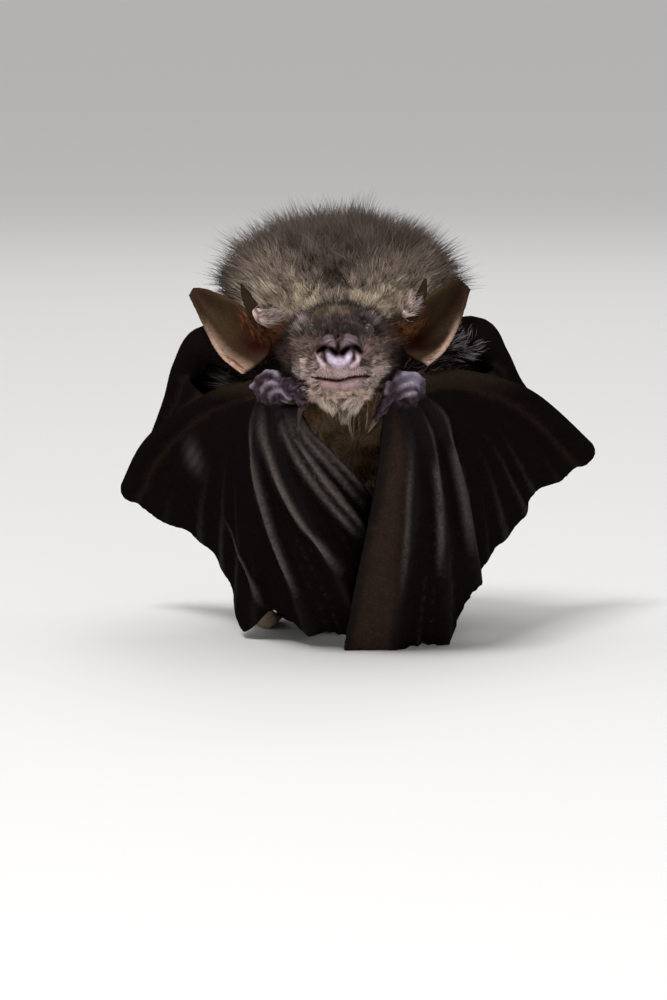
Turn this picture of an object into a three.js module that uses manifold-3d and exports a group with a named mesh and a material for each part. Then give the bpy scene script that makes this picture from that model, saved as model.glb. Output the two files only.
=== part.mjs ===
// A mouse-eared bat at life size, sitting upright with its wings folded down in front of it.
// Millimetres, +Z up. The bat faces -Y, so its own left side is at +X.
// Every solid reaches out to the tips of the coat.
import * as THREE from "three";
import { mergeVertices } from "three/addons/utils/BufferGeometryUtils.js";
import Module from "manifold-3d";

const wasm = await Module();
wasm.setup();

// ---------------------------------------------------------------- driving dimensions
const GAP = 0.3; // clearance between neighbouring solids
const WEB = 0.6; // thickness of the flying skin
const EAR_SKIN = 0.7; // thickness of an ear
const EYE = { x: 3.55, y: -22.2, z: 43.3, radius: 0.8 };
const MOUTH_Z = 37.9; // the lips meet here
const JAW_BACK = -18; // the lower jaw ends here, under the cheek
const FINGER = 0.75; // radius of a finger where it leaves the wrist
const FAR = 200; // longer than the whole bat, for cutting boxes
// How far the flying skin keeps from the middle of the bone that it hangs from.
const CLEAR = { finger: FINGER + GAP, forearm: 2.6, upperArm: 3.3, flank: 0.6, tail: 1.2, leg: 1.6 };
const BILLOW = 2.2; // how far the broad web blows out between the arm and the last finger
const SAG = -0.45; // the skin hangs a little behind the fingers
const FOLDS = 3; // shallow waves across the broad web
const WAVE = 0.35; // height of those waves
const WEB_ROOM = 0.4; // a web starts where its bones have opened to its margins and this much more

// Sizes of the trunk, from rump to nape: centre y and z, half width, half height.
const TRUNK = [
  [38.0, 9.5, 3.5, 3.2],
  [34.0, 13.5, 8.6, 8.2],
  [27.5, 19.5, 12.8, 12.3],
  [19.5, 27.5, 16.0, 15.4],
  [11.5, 35.0, 18.4, 17.2],
  [4.0, 40.5, 19.6, 17.6],
  [-3.0, 42.0, 15.0, 13.6],
  [-8.0, 41.4, 9.4, 8.6],
  [-12.0, 41.0, 7.8, 6.7],
];
// Sizes of the head, from nape to nose.
const HEAD = [
  [-8.5, 40.6, 7.0, 5.6],
  [-12.0, 40.4, 8.2, 6.4],
  [-16.0, 40.2, 7.9, 6.5],
  [-20.0, 39.9, 6.8, 6.1],
  [-23.5, 39.2, 5.9, 5.3],
  [-26.5, 38.6, 5.2, 4.8],
  [-28.8, 38.9, 4.2, 4.0],
  [-29.9, 39.2, 2.6, 2.6],
];
const NECK_CUT = -6.5; // y where the neck ends and the chest begins
const WAIST_CUT = 15.5; // y where the chest ends and the belly begins

// The joints and bends of each side. The two wings hang differently: the left one crosses
// in front of the right one, and its elbow is carried higher and further out.
const SIDES = [
  {
    name: "left",
    side: 1,
    upperArm: [
      [13.5, -1.0, 42.5, 3.2],
      [17.7, 3.5, 40.9, 3.1],
      [20.3, 9.0, 37.6, 2.8],
      [23.0, 16.0, 32.6, 2.6],
      [28.0, 24.6, 27.0, 2.3],
      [32.0, 29.4, 24.2, 2.1],
    ],
    forearm: [
      [33.4, 30.4, 22.6, 2.2],
      [28.2, 22.0, 28.2, 2.0],
      [24.3, 12.0, 31.8, 1.8],
      [19.7, 2.0, 34.3, 1.6],
      [14.9, -8.0, 36.0, 1.5],
      [11.2, -16.0, 36.2, 1.4],
      [9.0, -21.0, 35.8, 1.4],
    ],
    wrist: [
      [9.8, -20.0, 36.0, 1.9],
      [8.2, -22.2, 36.1, 2.4],
      [6.9, -23.6, 35.8, 1.9],
    ],
    thumb: [
      [6.9, -24.4, 36.4, 1.2],
      [6.1, -25.4, 35.0, 1.0],
      [5.2, -25.9, 33.5, 0.8],
      [4.3, -26.0, 32.0, 0.6],
      [3.4, -25.8, 30.6, 0.35],
    ],
    fingers: {
      2: [
        [6.1, -23.0, 34.0],
        [5.2, -21.4, 26.0],
        [4.0, -18.0, 18.5],
        [1.7, -7.5, 5.6],
        [0.8, -3.0, -0.4],
      ],
      3: [
        [8.0, -23.2, 33.8],
        [9.2, -21.6, 27.0],
        [9.4, -18.6, 20.0],
        [7.9, -8.0, 7.0],
        [7.1, -3.0, -0.4],
      ],
      4: [
        [9.5, -22.6, 34.0],
        [11.6, -20.8, 28.0],
        [13.2, -15.5, 19.5],
        [14.2, -4.5, 7.0],
        [14.2, 2.5, -0.4],
      ],
      5: [
        [10.8, -21.0, 34.3],
        [13.6, -18.4, 29.2],
        [15.9, -13.4, 22.6],
        [17.4, -7.0, 14.6],
        [18.5, -1.0, 8.4],
      ],
    },
    fold: [
      [18.9, 10.0, 9.2],
      [21.4, 16.5, 11.8],
      [25.0, 21.0, 15.2],
      [26.4, 24.5, 18.0],
      [30.8, 28.0, 19.2],
      [33.6, 30.6, 20.2],
    ],
    tragus: [
      [9.0, -14.0, 43.9, 1.0],
      [9.7, -13.6, 45.6, 1.1],
      [10.5, -13.2, 47.4, 0.9],
      [11.0, -12.7, 49.4, 0.35],
    ],
    ear: {
      inner: [[7.9, -15.5, 43.2], [9.8, -10.5, 45.4], [12.4, -5.6, 47.2], [15.6, -1.0, 48.7]],
      middle: [[8.0, -13.0, 40.4], [11.0, -6.6, 41.6], [14.0, -1.4, 44.2], [16.6, 0.6, 47.6]],
      outer: [[11.0, -18.0, 38.7], [13.4, -12.4, 40.2], [15.5, -5.4, 43.4], [16.9, -0.4, 47.4]],
    },
  },
  {
    name: "right",
    side: -1,
    upperArm: [
      [-13.5, -1.0, 41.4, 3.2],
      [-17.3, 3.5, 39.8, 3.1],
      [-20.0, 9.0, 36.2, 2.8],
      [-21.8, 16.0, 30.8, 2.6],
      [-24.8, 24.4, 23.8, 2.3],
      [-27.2, 29.0, 19.2, 2.1],
    ],
    forearm: [
      [-28.2, 30.2, 17.6, 2.2],
      [-25.8, 22.0, 23.2, 2.0],
      [-22.5, 12.0, 27.5, 1.8],
      [-18.4, 2.0, 31.2, 1.6],
      [-14.6, -8.0, 33.9, 1.5],
      [-11.6, -16.0, 35.3, 1.4],
      [-9.2, -20.8, 35.9, 1.4],
    ],
    wrist: [
      [-9.9, -20.0, 36.1, 1.9],
      [-8.4, -22.2, 36.2, 2.4],
      [-7.1, -23.6, 35.8, 1.9],
    ],
    thumb: [
      [-6.8, -24.8, 36.7, 1.2],
      [-5.5, -26.2, 36.0, 1.1],
      [-4.8, -26.9, 34.7, 0.8],
      [-5.0, -27.0, 33.3, 0.35],
    ],
    fingers: {
      2: [
        [-5.8, -23.0, 33.8],
        [-3.4, -21.4, 29.6],
        [1.0, -16.8, 25.0],
        [5.6, -9.5, 17.5],
        [8.6, -1.5, 7.2],
      ],
      3: [
        [-7.0, -23.0, 33.8],
        [-4.6, -21.4, 28.8],
        [0.6, -15.6, 21.6],
        [5.0, -7.6, 11.5],
        [7.6, -1.0, 2.2],
      ],
      4: [
        [-8.4, -22.6, 33.9],
        [-7.4, -20.4, 26.0],
        [-2.8, -15.0, 16.2],
        [1.6, -6.2, 6.5],
        [3.4, 0.6, -0.4],
      ],
      5: [
        [-10.2, -21.4, 33.9],
        [-10.8, -18.6, 26.0],
        [-9.4, -13.6, 18.2],
        [-5.6, -5.2, 7.2],
        [-4.0, -0.4, 1.6],
      ],
    },
    fold: [
      [-8.6, 4.2, 4.4],
      [-12.8, 8.6, 0.9],
      [-14.2, 14.5, 5.6],
      [-16.6, 18.5, 9.8],
      [-20.2, 23.0, 12.6],
      [-25.6, 27.2, 14.2],
      [-28.8, 30.4, 15.2],
    ],
    tragus: [
      [-10.4, -14.0, 43.6, 1.0],
      [-11.0, -13.6, 45.2, 1.1],
      [-11.9, -13.2, 46.9, 0.9],
      [-12.7, -12.7, 48.7, 0.35],
    ],
    ear: {
      inner: [[-9.9, -15.0, 42.8], [-12.0, -9.0, 44.9], [-14.9, -3.0, 46.3], [-19.0, 3.0, 47.4]],
      middle: [[-9.0, -13.0, 40.0], [-12.2, -6.6, 41.0], [-15.8, -0.4, 43.4], [-19.6, 3.6, 46.4]],
      outer: [[-12.2, -18.0, 37.6], [-15.2, -12.0, 39.4], [-17.4, -4.0, 42.3], [-19.6, 2.6, 46.4]],
    },
  },
];
// The hind limbs are alike on both sides, so their points are given for the left one.
const THIGH = [
  [4.5, 29.0, 15.5, 5.2],
  [9.5, 32.4, 18.0, 4.4],
  [13.4, 34.4, 20.0, 3.0],
  [15.8, 35.4, 21.0, 2.0],
];
const SHIN = [
  [16.6, 35.2, 20.6, 1.7],
  [14.4, 30.0, 15.0, 1.8],
  [11.6, 23.4, 8.0, 1.5],
  [9.8, 18.6, 3.0, 1.2],
];
const FOOT = [
  [9.7, 17.2, 1.5, 1.2, 1.3],
  [9.9, 19.8, 1.2, 1.8, 1.1],
  [10.2, 22.6, 0.9, 2.2, 0.9],
];
const TOE = { count: 5, pitch: 0.85, splay: 1.25, start: 22.2, length: 5.6, radius: 0.5 };
const TAIL = [
  [0, 38.8, 7.6, 1.6],
  [0, 40.8, 4.6, 1.2],
  [0, 39.0, 1.7, 1.0],
  [0, 32.0, 0.7, 0.9],
  [0, 22.0, 0.6, 0.8],
  [0, 12.0, 0.6, 0.7],
];
const TAIL_WEB_EDGE = [
  [1.2, 12.0, 0.6],
  [4.5, 14.8, 0.9],
  [8.4, 16.0, 2.2],
];
// Where the webs meet the flank and the back of the leg, on the left side.
const FLANK = [
  [14, 6, 34],
  [15.5, 15, 24],
  [14.5, 25, 17],
  [15.4, 31, 16],
  [11.6, 20.5, 5.4],
];
const LEG_LINE = [
  [5, 37.6, 9.5],
  [10.5, 38.2, 14],
  [14.5, 36.4, 17.5],
  [13.4, 29, 12.4],
  [9.6, 17.6, 2.6],
];
const ANKLE = [11.2, 18.6, 4.4];
const SHOULDER_SHARE = 0.62; // how far the shoulder web reaches towards its own edge
const FRONT_OF_FOOT = 9; // the flank web stays behind this y
// The webs between the fingers: outer finger, inner finger, rise of the edge between their tips.
const WEBS = [
  [5, 4, 1.5],
  [4, 3, 0.8],
  [3, 2, 0.2],
];
const NOSE_PAD = [
  [0, -28.6, 40.6, 2.2, 2.0],
  [0, -30.0, 40.5, 2.0, 1.5],
  [0, -30.6, 40.5, 1.4, 1.0],
];
const WHISKER_PADS = [
  [-3.4, -26.0, 39.2, 2.4, 2.6],
  [0, -28.0, 39.6, 2.4, 2.6],
  [3.4, -26.0, 39.2, 2.4, 2.6],
];
const BEARD = [
  [0, -24, 36.4, 4.4, 3.0],
  [0, -26.2, 34.6, 3.9, 2.4],
  [0, -26.4, 32.4, 2.0, 1.2],
];

// ---------------------------------------------------------------- materials
const material = (color, roughness) => new THREE.MeshStandardMaterial({ color, roughness, metalness: 0 });
const FUR = material(0x6a5a4b, 0.95);
const FACE_FUR = material(0x55473c, 0.9);
const BEARD_FUR = material(0xb9a68a, 0.9);
const WING_SKIN = material(0x1d1815, 0.55);
const EAR_LEATHER = material(0x5c4a3a, 0.6);
const PINK_SKIN = material(0x9a7c84, 0.45);
const EYE_BLACK = material(0x0b0908, 0.1);

// ---------------------------------------------------------------- solids from curves
const vector = (p) => new THREE.Vector3(p[0], p[1], p[2]);
const smooth = (points) => new THREE.CatmullRomCurve3(points.map(vector));

function toSolid(geometry) {
  const bare = geometry.clone();
  bare.deleteAttribute("normal");
  bare.deleteAttribute("uv");
  const merged = mergeVertices(bare, 1e-3);
  const vertProperties = merged.attributes.position.array;
  const triVerts = new Uint32Array(merged.index.array);
  return new wasm.Manifold(new wasm.Mesh({ numProp: 3, vertProperties, triVerts }));
}

function toGeometry(solid) {
  const mesh = solid.getMesh();
  const geometry = new THREE.BufferGeometry();
  geometry.setAttribute("position", new THREE.BufferAttribute(mesh.vertProperties, 3));
  geometry.setIndex(new THREE.BufferAttribute(mesh.triVerts, 1));
  geometry.computeVertexNormals();
  return geometry;
}

// A closed tube along rows of x, y, z, half width and half height, with blunt ends.
// Its width lies as near to `sideways` as the path lets it.
function limb(rows, grow = 0, { sides = 8, steps = 8, sideways = [1, 0, 0] } = {}) {
  const path = smooth(rows);
  const sizes = smooth(rows.map((row) => [row[3], row[4] ?? row[3], 0]));
  const geometry = new THREE.SphereGeometry(1, sides, steps + 2);
  const { position, uv } = geometry.attributes;
  for (let i = 0; i < position.count; i += 1) {
    const ring = Math.round((1 - uv.getY(i)) * (steps + 2));
    const t = THREE.MathUtils.clamp((ring - 1) / steps, 0, 1);
    const tangent = path.getTangent(t);
    const across = vector(sideways).addScaledVector(tangent, -tangent.dot(vector(sideways))).normalize();
    const upward = new THREE.Vector3().crossVectors(tangent, across);
    const size = sizes.getPoint(t);
    const point = path.getPoint(t);
    if (ring === 0 || ring === steps + 2) {
      point.addScaledVector(tangent, (ring ? 1 : -1) * (0.35 * size.y + grow));
    } else {
      const turn = uv.getX(i) * 2 * Math.PI;
      point.addScaledVector(across, -Math.cos(turn) * (size.x + grow));
      point.addScaledVector(upward, Math.sin(turn) * (size.y + grow));
    }
    position.setXYZ(i, point.x, point.y, point.z);
  }
  return toSolid(geometry);
}

// A skin of even thickness over place(u, v), for u and v from 0 to 1.
function sheet(place, thickness, grow, across, down) {
  const geometry = new THREE.BoxGeometry(1, 1, 1, across, down, 1);
  const { position } = geometry.attributes;
  const step = 0.02;
  for (let i = 0; i < position.count; i += 1) {
    const u = position.getX(i) + 0.5;
    const v = position.getY(i) + 0.5;
    const [u0, u1] = [Math.max(u - step, 0), Math.min(u + step, 1)];
    const [v0, v1] = [Math.max(v - step, 0), Math.min(v + step, 1)];
    const alongU = place(u1, v).sub(place(u0, v)).normalize();
    const alongV = place(u, v1).sub(place(u, v0)).normalize();
    const normal = new THREE.Vector3().crossVectors(alongU, alongV).normalize();
    const point = place(u, v).addScaledVector(normal, Math.sign(position.getZ(i)) * (thickness / 2 + grow));
    if (u < 1e-6) point.addScaledVector(alongU, -grow);
    if (u > 1 - 1e-6) point.addScaledVector(alongU, grow);
    if (v < 1e-6) point.addScaledVector(alongV, -grow);
    if (v > 1 - 1e-6) point.addScaledVector(alongV, grow);
    position.setXYZ(i, point.x, point.y, point.z);
  }
  return toSolid(geometry);
}

// The surface of a web that fans out from where two bones meet. It runs between the curves
// `first` and `second`, stays clear of both by their own margins, and ends at `edge`.
function web(first, second, edge, { margins = [1, 1], bulge = 0, ripples = 0, toward = [0, -1, 0] } = {}) {
  const room = margins[0] + margins[1] + WEB_ROOM;
  let start = 0;
  while (start < 0.6 && first.getPoint(start).distanceTo(second.getPoint(start)) < room) start += 0.01;
  const out = vector(toward).normalize();
  return (u, v) => {
    const t = start + v * (1 - start);
    const a = first.getPoint(t);
    const b = second.getPoint(t);
    const width = a.distanceTo(b);
    const share = THREE.MathUtils.lerp(margins[0] / width, 1 - margins[1] / width, u);
    const point = a.clone().lerp(b, share);
    const straightEnd = first.getPoint(1).lerp(second.getPoint(1), share);
    point.addScaledVector(edge.getPoint(share).sub(straightEnd), t ** 3);
    const arch = Math.sin(Math.PI * u) * Math.sin(Math.PI * (0.15 + 0.7 * v));
    const waves = ripples ? WAVE * Math.sin(2 * Math.PI * ripples * u) * v : 0;
    return point.addScaledVector(out, bulge * arch + waves);
  };
}

// The part of a solid between two distances along an axis.
function between(solid, axis, from, to) {
  const direction = vector(axis).normalize();
  const slab = new THREE.BoxGeometry(FAR, FAR, to - from);
  slab.applyQuaternion(new THREE.Quaternion().setFromUnitVectors(new THREE.Vector3(0, 0, 1), direction));
  slab.translate(...direction.multiplyScalar((from + to) / 2));
  return solid.intersect(toSolid(slab));
}
const onFloor = (solid) => between(solid, [0, 0, 1], 0, FAR);

// ---------------------------------------------------------------- the parts
// A later part gives way to the earlier ones, so that a gap stays between them.
const parts = [];
const part = (name, look, build) => parts.push({ name, look, build });
const mirrored = (rows, side) => rows.map(([x, ...rest]) => [x * side, ...rest]);
const midline = (rows) => rows.map(([y, z, width, height]) => [0, y, z, width, height]);

for (const { name, side } of SIDES) {
  part(`eye_${name}`, EYE_BLACK, (grow) => {
    const ball = new THREE.SphereGeometry(EYE.radius + grow, 8, 6);
    return toSolid(ball.translate(EYE.x * side, EYE.y, EYE.z));
  });
}

part("nose", PINK_SKIN, (grow) => limb(NOSE_PAD, grow, { sides: 8, steps: 2 }));

const skull = (grow) => {
  const pads = limb(WHISKER_PADS, grow, { sides: 8, steps: 4, sideways: [0, 0, 1] });
  return limb(midline(HEAD), grow, { sides: 16, steps: 8 }).add(pads);
};
part("lower_jaw", BEARD_FUR, (grow) => {
  const beard = limb(BEARD, grow, { steps: 4 });
  const under = between(skull(grow).add(beard), [0, 0, 1], 0, MOUTH_Z - GAP / 2 + grow);
  return between(under, [0, -1, 0], -JAW_BACK - grow, FAR);
});
part("head", FACE_FUR, (grow) => skull(grow));

for (const { name, ear } of SIDES) {
  const inner = smooth(ear.inner);
  const middle = smooth(ear.middle);
  const outer = smooth(ear.outer);
  const place = (across, along) => {
    const a = inner.getPoint(along);
    const b = outer.getPoint(along);
    const handle = middle.getPoint(along).multiplyScalar(2).sub(a.clone().add(b).multiplyScalar(0.5));
    return new THREE.QuadraticBezierCurve3(a, handle, b).getPoint(across);
  };
  part(`ear_${name}`, EAR_LEATHER, (grow) => sheet(place, EAR_SKIN, grow, 5, 7));
}

const trunk = (grow) => limb(midline(TRUNK), grow, { sides: 16, steps: 11 });
part("neck", FUR, (grow) => between(trunk(grow), [0, -1, 0], -NECK_CUT - grow, FAR));
part("chest", FUR, (grow) => between(trunk(grow), [0, -1, 0], -WAIST_CUT - grow, -NECK_CUT + grow));
part("abdomen", FUR, (grow) => between(trunk(grow), [0, -1, 0], -FAR, -WAIST_CUT + grow));

part("tail", WING_SKIN, (grow) => onFloor(limb(TAIL, grow, { sides: 6, steps: 9 })));
for (const { name, side } of SIDES) {
  part(`thigh_${name}`, FUR, (grow) => limb(mirrored(THIGH, side), grow, { steps: 5 }));
  part(`shin_${name}`, WING_SKIN, (grow) => limb(mirrored(SHIN, side), grow, { sides: 6, steps: 6 }));
  part(`foot_${name}`, PINK_SKIN, (grow) => {
    let foot = limb(mirrored(FOOT, side), grow, { sides: 6, steps: 3 });
    for (let toe = 0; toe < TOE.count; toe += 1) {
      const offset = toe - (TOE.count - 1) / 2;
      const middle = FOOT.at(-1)[0] * side;
      const root = middle + offset * TOE.pitch;
      const tip = middle + offset * TOE.pitch * TOE.splay;
      const length = TOE.length - 0.15 * offset * offset;
      const rows = [
        [root, TOE.start, 0.8, TOE.radius],
        [tip, TOE.start + length * 0.6, 1.2, TOE.radius * 0.9],
        [tip, TOE.start + length, -0.1, TOE.radius * 0.4],
      ];
      foot = foot.add(limb(rows, grow, { sides: 4, steps: 2 }));
    }
    return onFloor(foot);
  });
}

for (const { name, upperArm, forearm, wrist, thumb, fingers, tragus } of SIDES) {
  part(`upper_arm_${name}`, WING_SKIN, (grow) => limb(upperArm, grow, { steps: 7 }));
  part(`forearm_${name}`, WING_SKIN, (grow) => limb(forearm, grow, { sides: 7, steps: 7 }));
  part(`wrist_${name}`, PINK_SKIN, (grow) => limb(wrist, grow, { steps: 4 }));
  part(`thumb_${name}`, PINK_SKIN, (grow) => limb(thumb, grow, { sides: 6, steps: 5 }));
  for (const [digit, points] of Object.entries(fingers)) {
    part(`finger_${digit}_${name}`, WING_SKIN, (grow) => {
      const rows = points.map((p, i) => [...p, FINGER * (1 - 0.08 * i)]);
      return onFloor(limb(rows, grow, { sides: 5, steps: 6 }));
    });
  }
  part(`tragus_${name}`, EAR_LEATHER, (grow) => {
    return limb(tragus.map(([x, y, z, width]) => [x, y, z, width, 0.45]), grow, { sides: 6, steps: 4 });
  });
}

for (const { name, side, upperArm, forearm, fingers, fold } of SIDES) {
  const armFromWrist = smooth([...forearm].reverse());
  const bone = Object.fromEntries(Object.entries(fingers).map(([digit, points]) => [digit, smooth(points)]));
  const tipOf = (digit) => fingers[digit].at(-1);
  const scallop = (digitA, digitB, rise) => {
    const [a, b] = [vector(tipOf(digitA)), vector(tipOf(digitB))];
    const middle = a.clone().lerp(b, 0.5).add(new THREE.Vector3(0, 0, rise));
    return smooth([a.toArray(), middle.toArray(), b.toArray()]);
  };
  part(`arm_web_${name}`, WING_SKIN, (grow) => {
    const edge = smooth([tipOf(5), ...fold]);
    const place = web(bone[5], armFromWrist, edge, {
      margins: [CLEAR.finger, CLEAR.forearm],
      bulge: BILLOW,
      ripples: FOLDS,
    });
    return onFloor(sheet(place, WEB, grow, 8, 7));
  });
  for (const [outer, inner, rise] of WEBS) {
    part(`web_${outer}_${inner}_${name}`, WING_SKIN, (grow) => {
      const place = web(bone[outer], bone[inner], scallop(outer, inner, rise), {
        margins: [CLEAR.finger, CLEAR.finger],
        bulge: SAG,
      });
      return onFloor(sheet(place, WEB, grow, inner === 2 ? 2 : 3, 7));
    });
  }
  part(`shoulder_web_${name}`, WING_SKIN, (grow) => {
    const edge = smooth([forearm.at(-3), [20 * side, 6, 37.5], upperArm[1]]);
    const place = web(smooth(forearm), smooth([...upperArm].reverse()), edge, {
      margins: [CLEAR.forearm, CLEAR.upperArm],
    });
    return sheet((u, v) => place(u, v * SHOULDER_SHARE), WEB, grow, 4, 6);
  });
  part(`flank_web_${name}`, WING_SKIN, (grow) => {
    const behind = [...fold].reverse().slice(1).filter(([, y]) => y > FRONT_OF_FOOT);
    const hem = [fold.at(-1), ...behind, ...mirrored([ANKLE], side)];
    const edge = smooth(hem.map(([x, y, z]) => [x - side, y + 1.2, z + 0.2]));
    const place = web(smooth(upperArm), smooth(mirrored(FLANK, side)), edge, {
      margins: [CLEAR.upperArm, CLEAR.flank],
      bulge: 0.8,
      toward: [side, 0.4, 0],
    });
    return onFloor(sheet(place, WEB, grow, 7, 6));
  });
  part(`tail_web_${name}`, WING_SKIN, (grow) => {
    const edge = smooth(mirrored(TAIL_WEB_EDGE, side));
    const place = web(smooth(TAIL), smooth(mirrored(LEG_LINE, side)), edge, {
      margins: [CLEAR.tail, CLEAR.leg],
      bulge: 0.6,
      toward: [0, 0.3, -1],
    });
    return onFloor(sheet(place, WEB, grow, 4, 7));
  });
}

// ---------------------------------------------------------------- putting it together
const bat = new THREE.Group();
const boxesTouch = (a, b) => [0, 1, 2].every((i) => a.min[i] <= b.max[i] && b.min[i] <= a.max[i]);
const earlier = [];
for (const { name, look, build } of parts) {
  let solid = build(0);
  for (const grown of earlier) {
    if (boxesTouch(solid.boundingBox(), grown.boundingBox()) && !solid.intersect(grown).isEmpty()) {
      solid = solid.subtract(grown);
    }
  }
  const pieces = solid.decompose().sort((a, b) => b.volume() - a.volume());
  earlier.push(build(GAP));
  const mesh = new THREE.Mesh(toGeometry(pieces[0]), look);
  mesh.name = name;
  bat.add(mesh);
}

// The origin is on the floor, under the middle of the bat.
const box = new THREE.Box3().setFromObject(bat);
const middle = box.getCenter(new THREE.Vector3());
bat.position.set(-middle.x, -middle.y, -box.min.z);

export default bat;
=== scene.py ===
# %% [markdown]
# # A mouse-eared bat, sitting with its wings folded down in front of it
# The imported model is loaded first. It fixes where every limb is, and nothing in it is moved.
# Here it is turned into one continuous skin, with a coat of tufts over it.
# Sizes are written in millimetres, in the frame that the bat was designed in, where the bat faces
# -Y and its own left side is at +X. The centre of its left eye ties that frame to this one.

# %% Load the frame
import math

import bpy
import numpy as np
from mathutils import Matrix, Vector
from mathutils.kdtree import KDTree


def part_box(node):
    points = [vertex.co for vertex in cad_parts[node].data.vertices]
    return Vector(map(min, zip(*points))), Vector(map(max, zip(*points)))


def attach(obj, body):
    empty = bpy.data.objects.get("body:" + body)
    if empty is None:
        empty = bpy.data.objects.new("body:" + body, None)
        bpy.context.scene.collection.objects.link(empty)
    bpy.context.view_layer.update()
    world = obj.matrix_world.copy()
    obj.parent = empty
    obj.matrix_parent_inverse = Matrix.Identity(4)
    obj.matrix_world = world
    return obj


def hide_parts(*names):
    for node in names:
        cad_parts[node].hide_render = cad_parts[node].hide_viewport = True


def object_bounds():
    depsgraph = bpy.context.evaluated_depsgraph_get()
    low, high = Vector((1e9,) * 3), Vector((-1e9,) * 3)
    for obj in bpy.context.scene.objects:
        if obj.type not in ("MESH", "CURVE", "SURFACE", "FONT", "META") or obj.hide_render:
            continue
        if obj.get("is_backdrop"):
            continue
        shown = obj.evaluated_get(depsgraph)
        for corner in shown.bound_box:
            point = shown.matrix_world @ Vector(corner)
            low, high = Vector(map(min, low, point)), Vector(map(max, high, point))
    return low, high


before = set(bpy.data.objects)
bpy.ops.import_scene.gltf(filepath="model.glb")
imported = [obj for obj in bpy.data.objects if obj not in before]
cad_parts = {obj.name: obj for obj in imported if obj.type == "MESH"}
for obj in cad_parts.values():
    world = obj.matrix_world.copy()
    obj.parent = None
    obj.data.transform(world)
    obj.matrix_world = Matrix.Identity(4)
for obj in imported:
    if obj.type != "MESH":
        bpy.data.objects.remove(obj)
cad_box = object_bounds()

MM = 0.001
EYE = (3.55, -22.2, 43.3)
EYE_RADIUS = 0.8
eye_low, eye_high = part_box("eye_left")
SHIFT = np.array((eye_low + eye_high) / 2) - np.array(EYE) * MM
SIDES = {"left": 1, "right": -1}  # the sign of x on each side
EYES = {name: np.array((EYE[0] * side, *EYE[1:])) for name, side in SIDES.items()}
print("nodes:", len(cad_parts), "shift in mm:", (SHIFT / MM).round(3))

# %% [markdown]
# A few small helpers come first. An operator works on all that is selected, so everything is
# deselected before each new piece. Points travel between Blender's metres and design millimetres.


# %% Helpers for objects and points
def start_fresh(*chosen):
    """Deselects everything, then selects the chosen pieces, the first of them as the active one."""
    bpy.ops.object.select_all(action="DESELECT")
    for piece in chosen:
        piece.select_set(True)
    if chosen:
        bpy.context.view_layer.objects.active = chosen[0]


def read(collection, name, kind=float, width=3):
    """One row of numbers for each element of a mesh collection."""
    flat = np.empty(len(collection) * width, kind)
    collection.foreach_get(name, flat)
    return flat.reshape(-1, width)


def get_points(piece):
    return (read(piece.data.vertices, "co") - SHIFT) / MM


def set_points(piece, points):
    piece.data.vertices.foreach_set("co", (points * MM + SHIFT).ravel())
    piece.data.update()


def join(pieces, name):
    start_fresh(*pieces)
    bpy.ops.object.join()
    joined = bpy.context.object
    joined.name = name
    return joined


def apply_modifier(piece, name, kind, **settings):
    modifier = piece.modifiers.new(name, kind)
    for setting, value in settings.items():
        setattr(modifier, setting, value)
    bpy.ops.object.modifier_apply(modifier=name)


def triangles(piece):
    return sum(len(face.vertices) - 2 for face in piece.data.polygons)


def unit(vectors):
    vectors = np.asarray(vectors, float)
    return vectors / np.maximum(np.linalg.norm(vectors, axis=-1, keepdims=True), 1e-12)


def lerp(a, b, share):
    return a + (b - a) * share


def ramp(value, start, full):
    """0 at `start`, 1 at `full`, rising evenly between them and flat beyond."""
    return np.clip((value - start) / (full - start), 0, 1)


# %% [markdown]
# A limb follows a smooth curve through a few points. The curve is the centripetal Catmull-Rom
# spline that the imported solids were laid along, so the skin lands inside the solids. It passes
# through every point without overshooting, which a plain spline does where points are close.


# %% Smooth curves
class Curve:
    """A smooth curve through rows of numbers, read at t from 0 to 1."""

    def __init__(self, rows):
        rows = np.array(rows, float)
        self.rows = np.vstack([2 * rows[0] - rows[1], rows, 2 * rows[-1] - rows[-2]])

    def at(self, t):
        t = np.clip(np.atleast_1d(np.asarray(t, float)), 0, 1)
        pieces = len(self.rows) - 3
        index = np.minimum((t * pieces).astype(int), pieces - 1)
        s = (t * pieces - index)[:, None]
        a, b, c, d = (self.rows[index + i] for i in range(4))
        step_b = np.sqrt(np.linalg.norm(c - b, axis=1))[:, None]
        step_b = np.where(step_b < 1e-4, 1.0, step_b)
        step_a = np.sqrt(np.linalg.norm(b - a, axis=1))[:, None]
        step_a = np.where(step_a < 1e-4, step_b, step_a)
        step_c = np.sqrt(np.linalg.norm(d - c, axis=1))[:, None]
        step_c = np.where(step_c < 1e-4, step_b, step_c)
        leave = ((b - a) / step_a - (c - a) / (step_a + step_b) + (c - b) / step_b) * step_b
        enter = ((c - b) / step_b - (d - b) / (step_b + step_c) + (d - c) / step_c) * step_b
        cubic = (2 * s**3 - 3 * s**2 + 1) * b + (s**3 - 2 * s**2 + s) * leave
        return cubic + (3 * s**2 - 2 * s**3) * c + (s**3 - s**2) * enter

    def direction(self, t, reach=0.004):
        return unit(self.at(np.asarray(t) + reach) - self.at(np.asarray(t) - reach))


# %% [markdown]
# ## Where the bones are
# The arms are the frame of the whole pose. On each side the upper arm runs from the shoulder back
# to the elbow, the forearm comes forward again to the wrist beside the chin, and four long finger
# bones hang from the wrist down to the floor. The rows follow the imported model: x, y, z and, where
# there is a fourth number, a radius.

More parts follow.
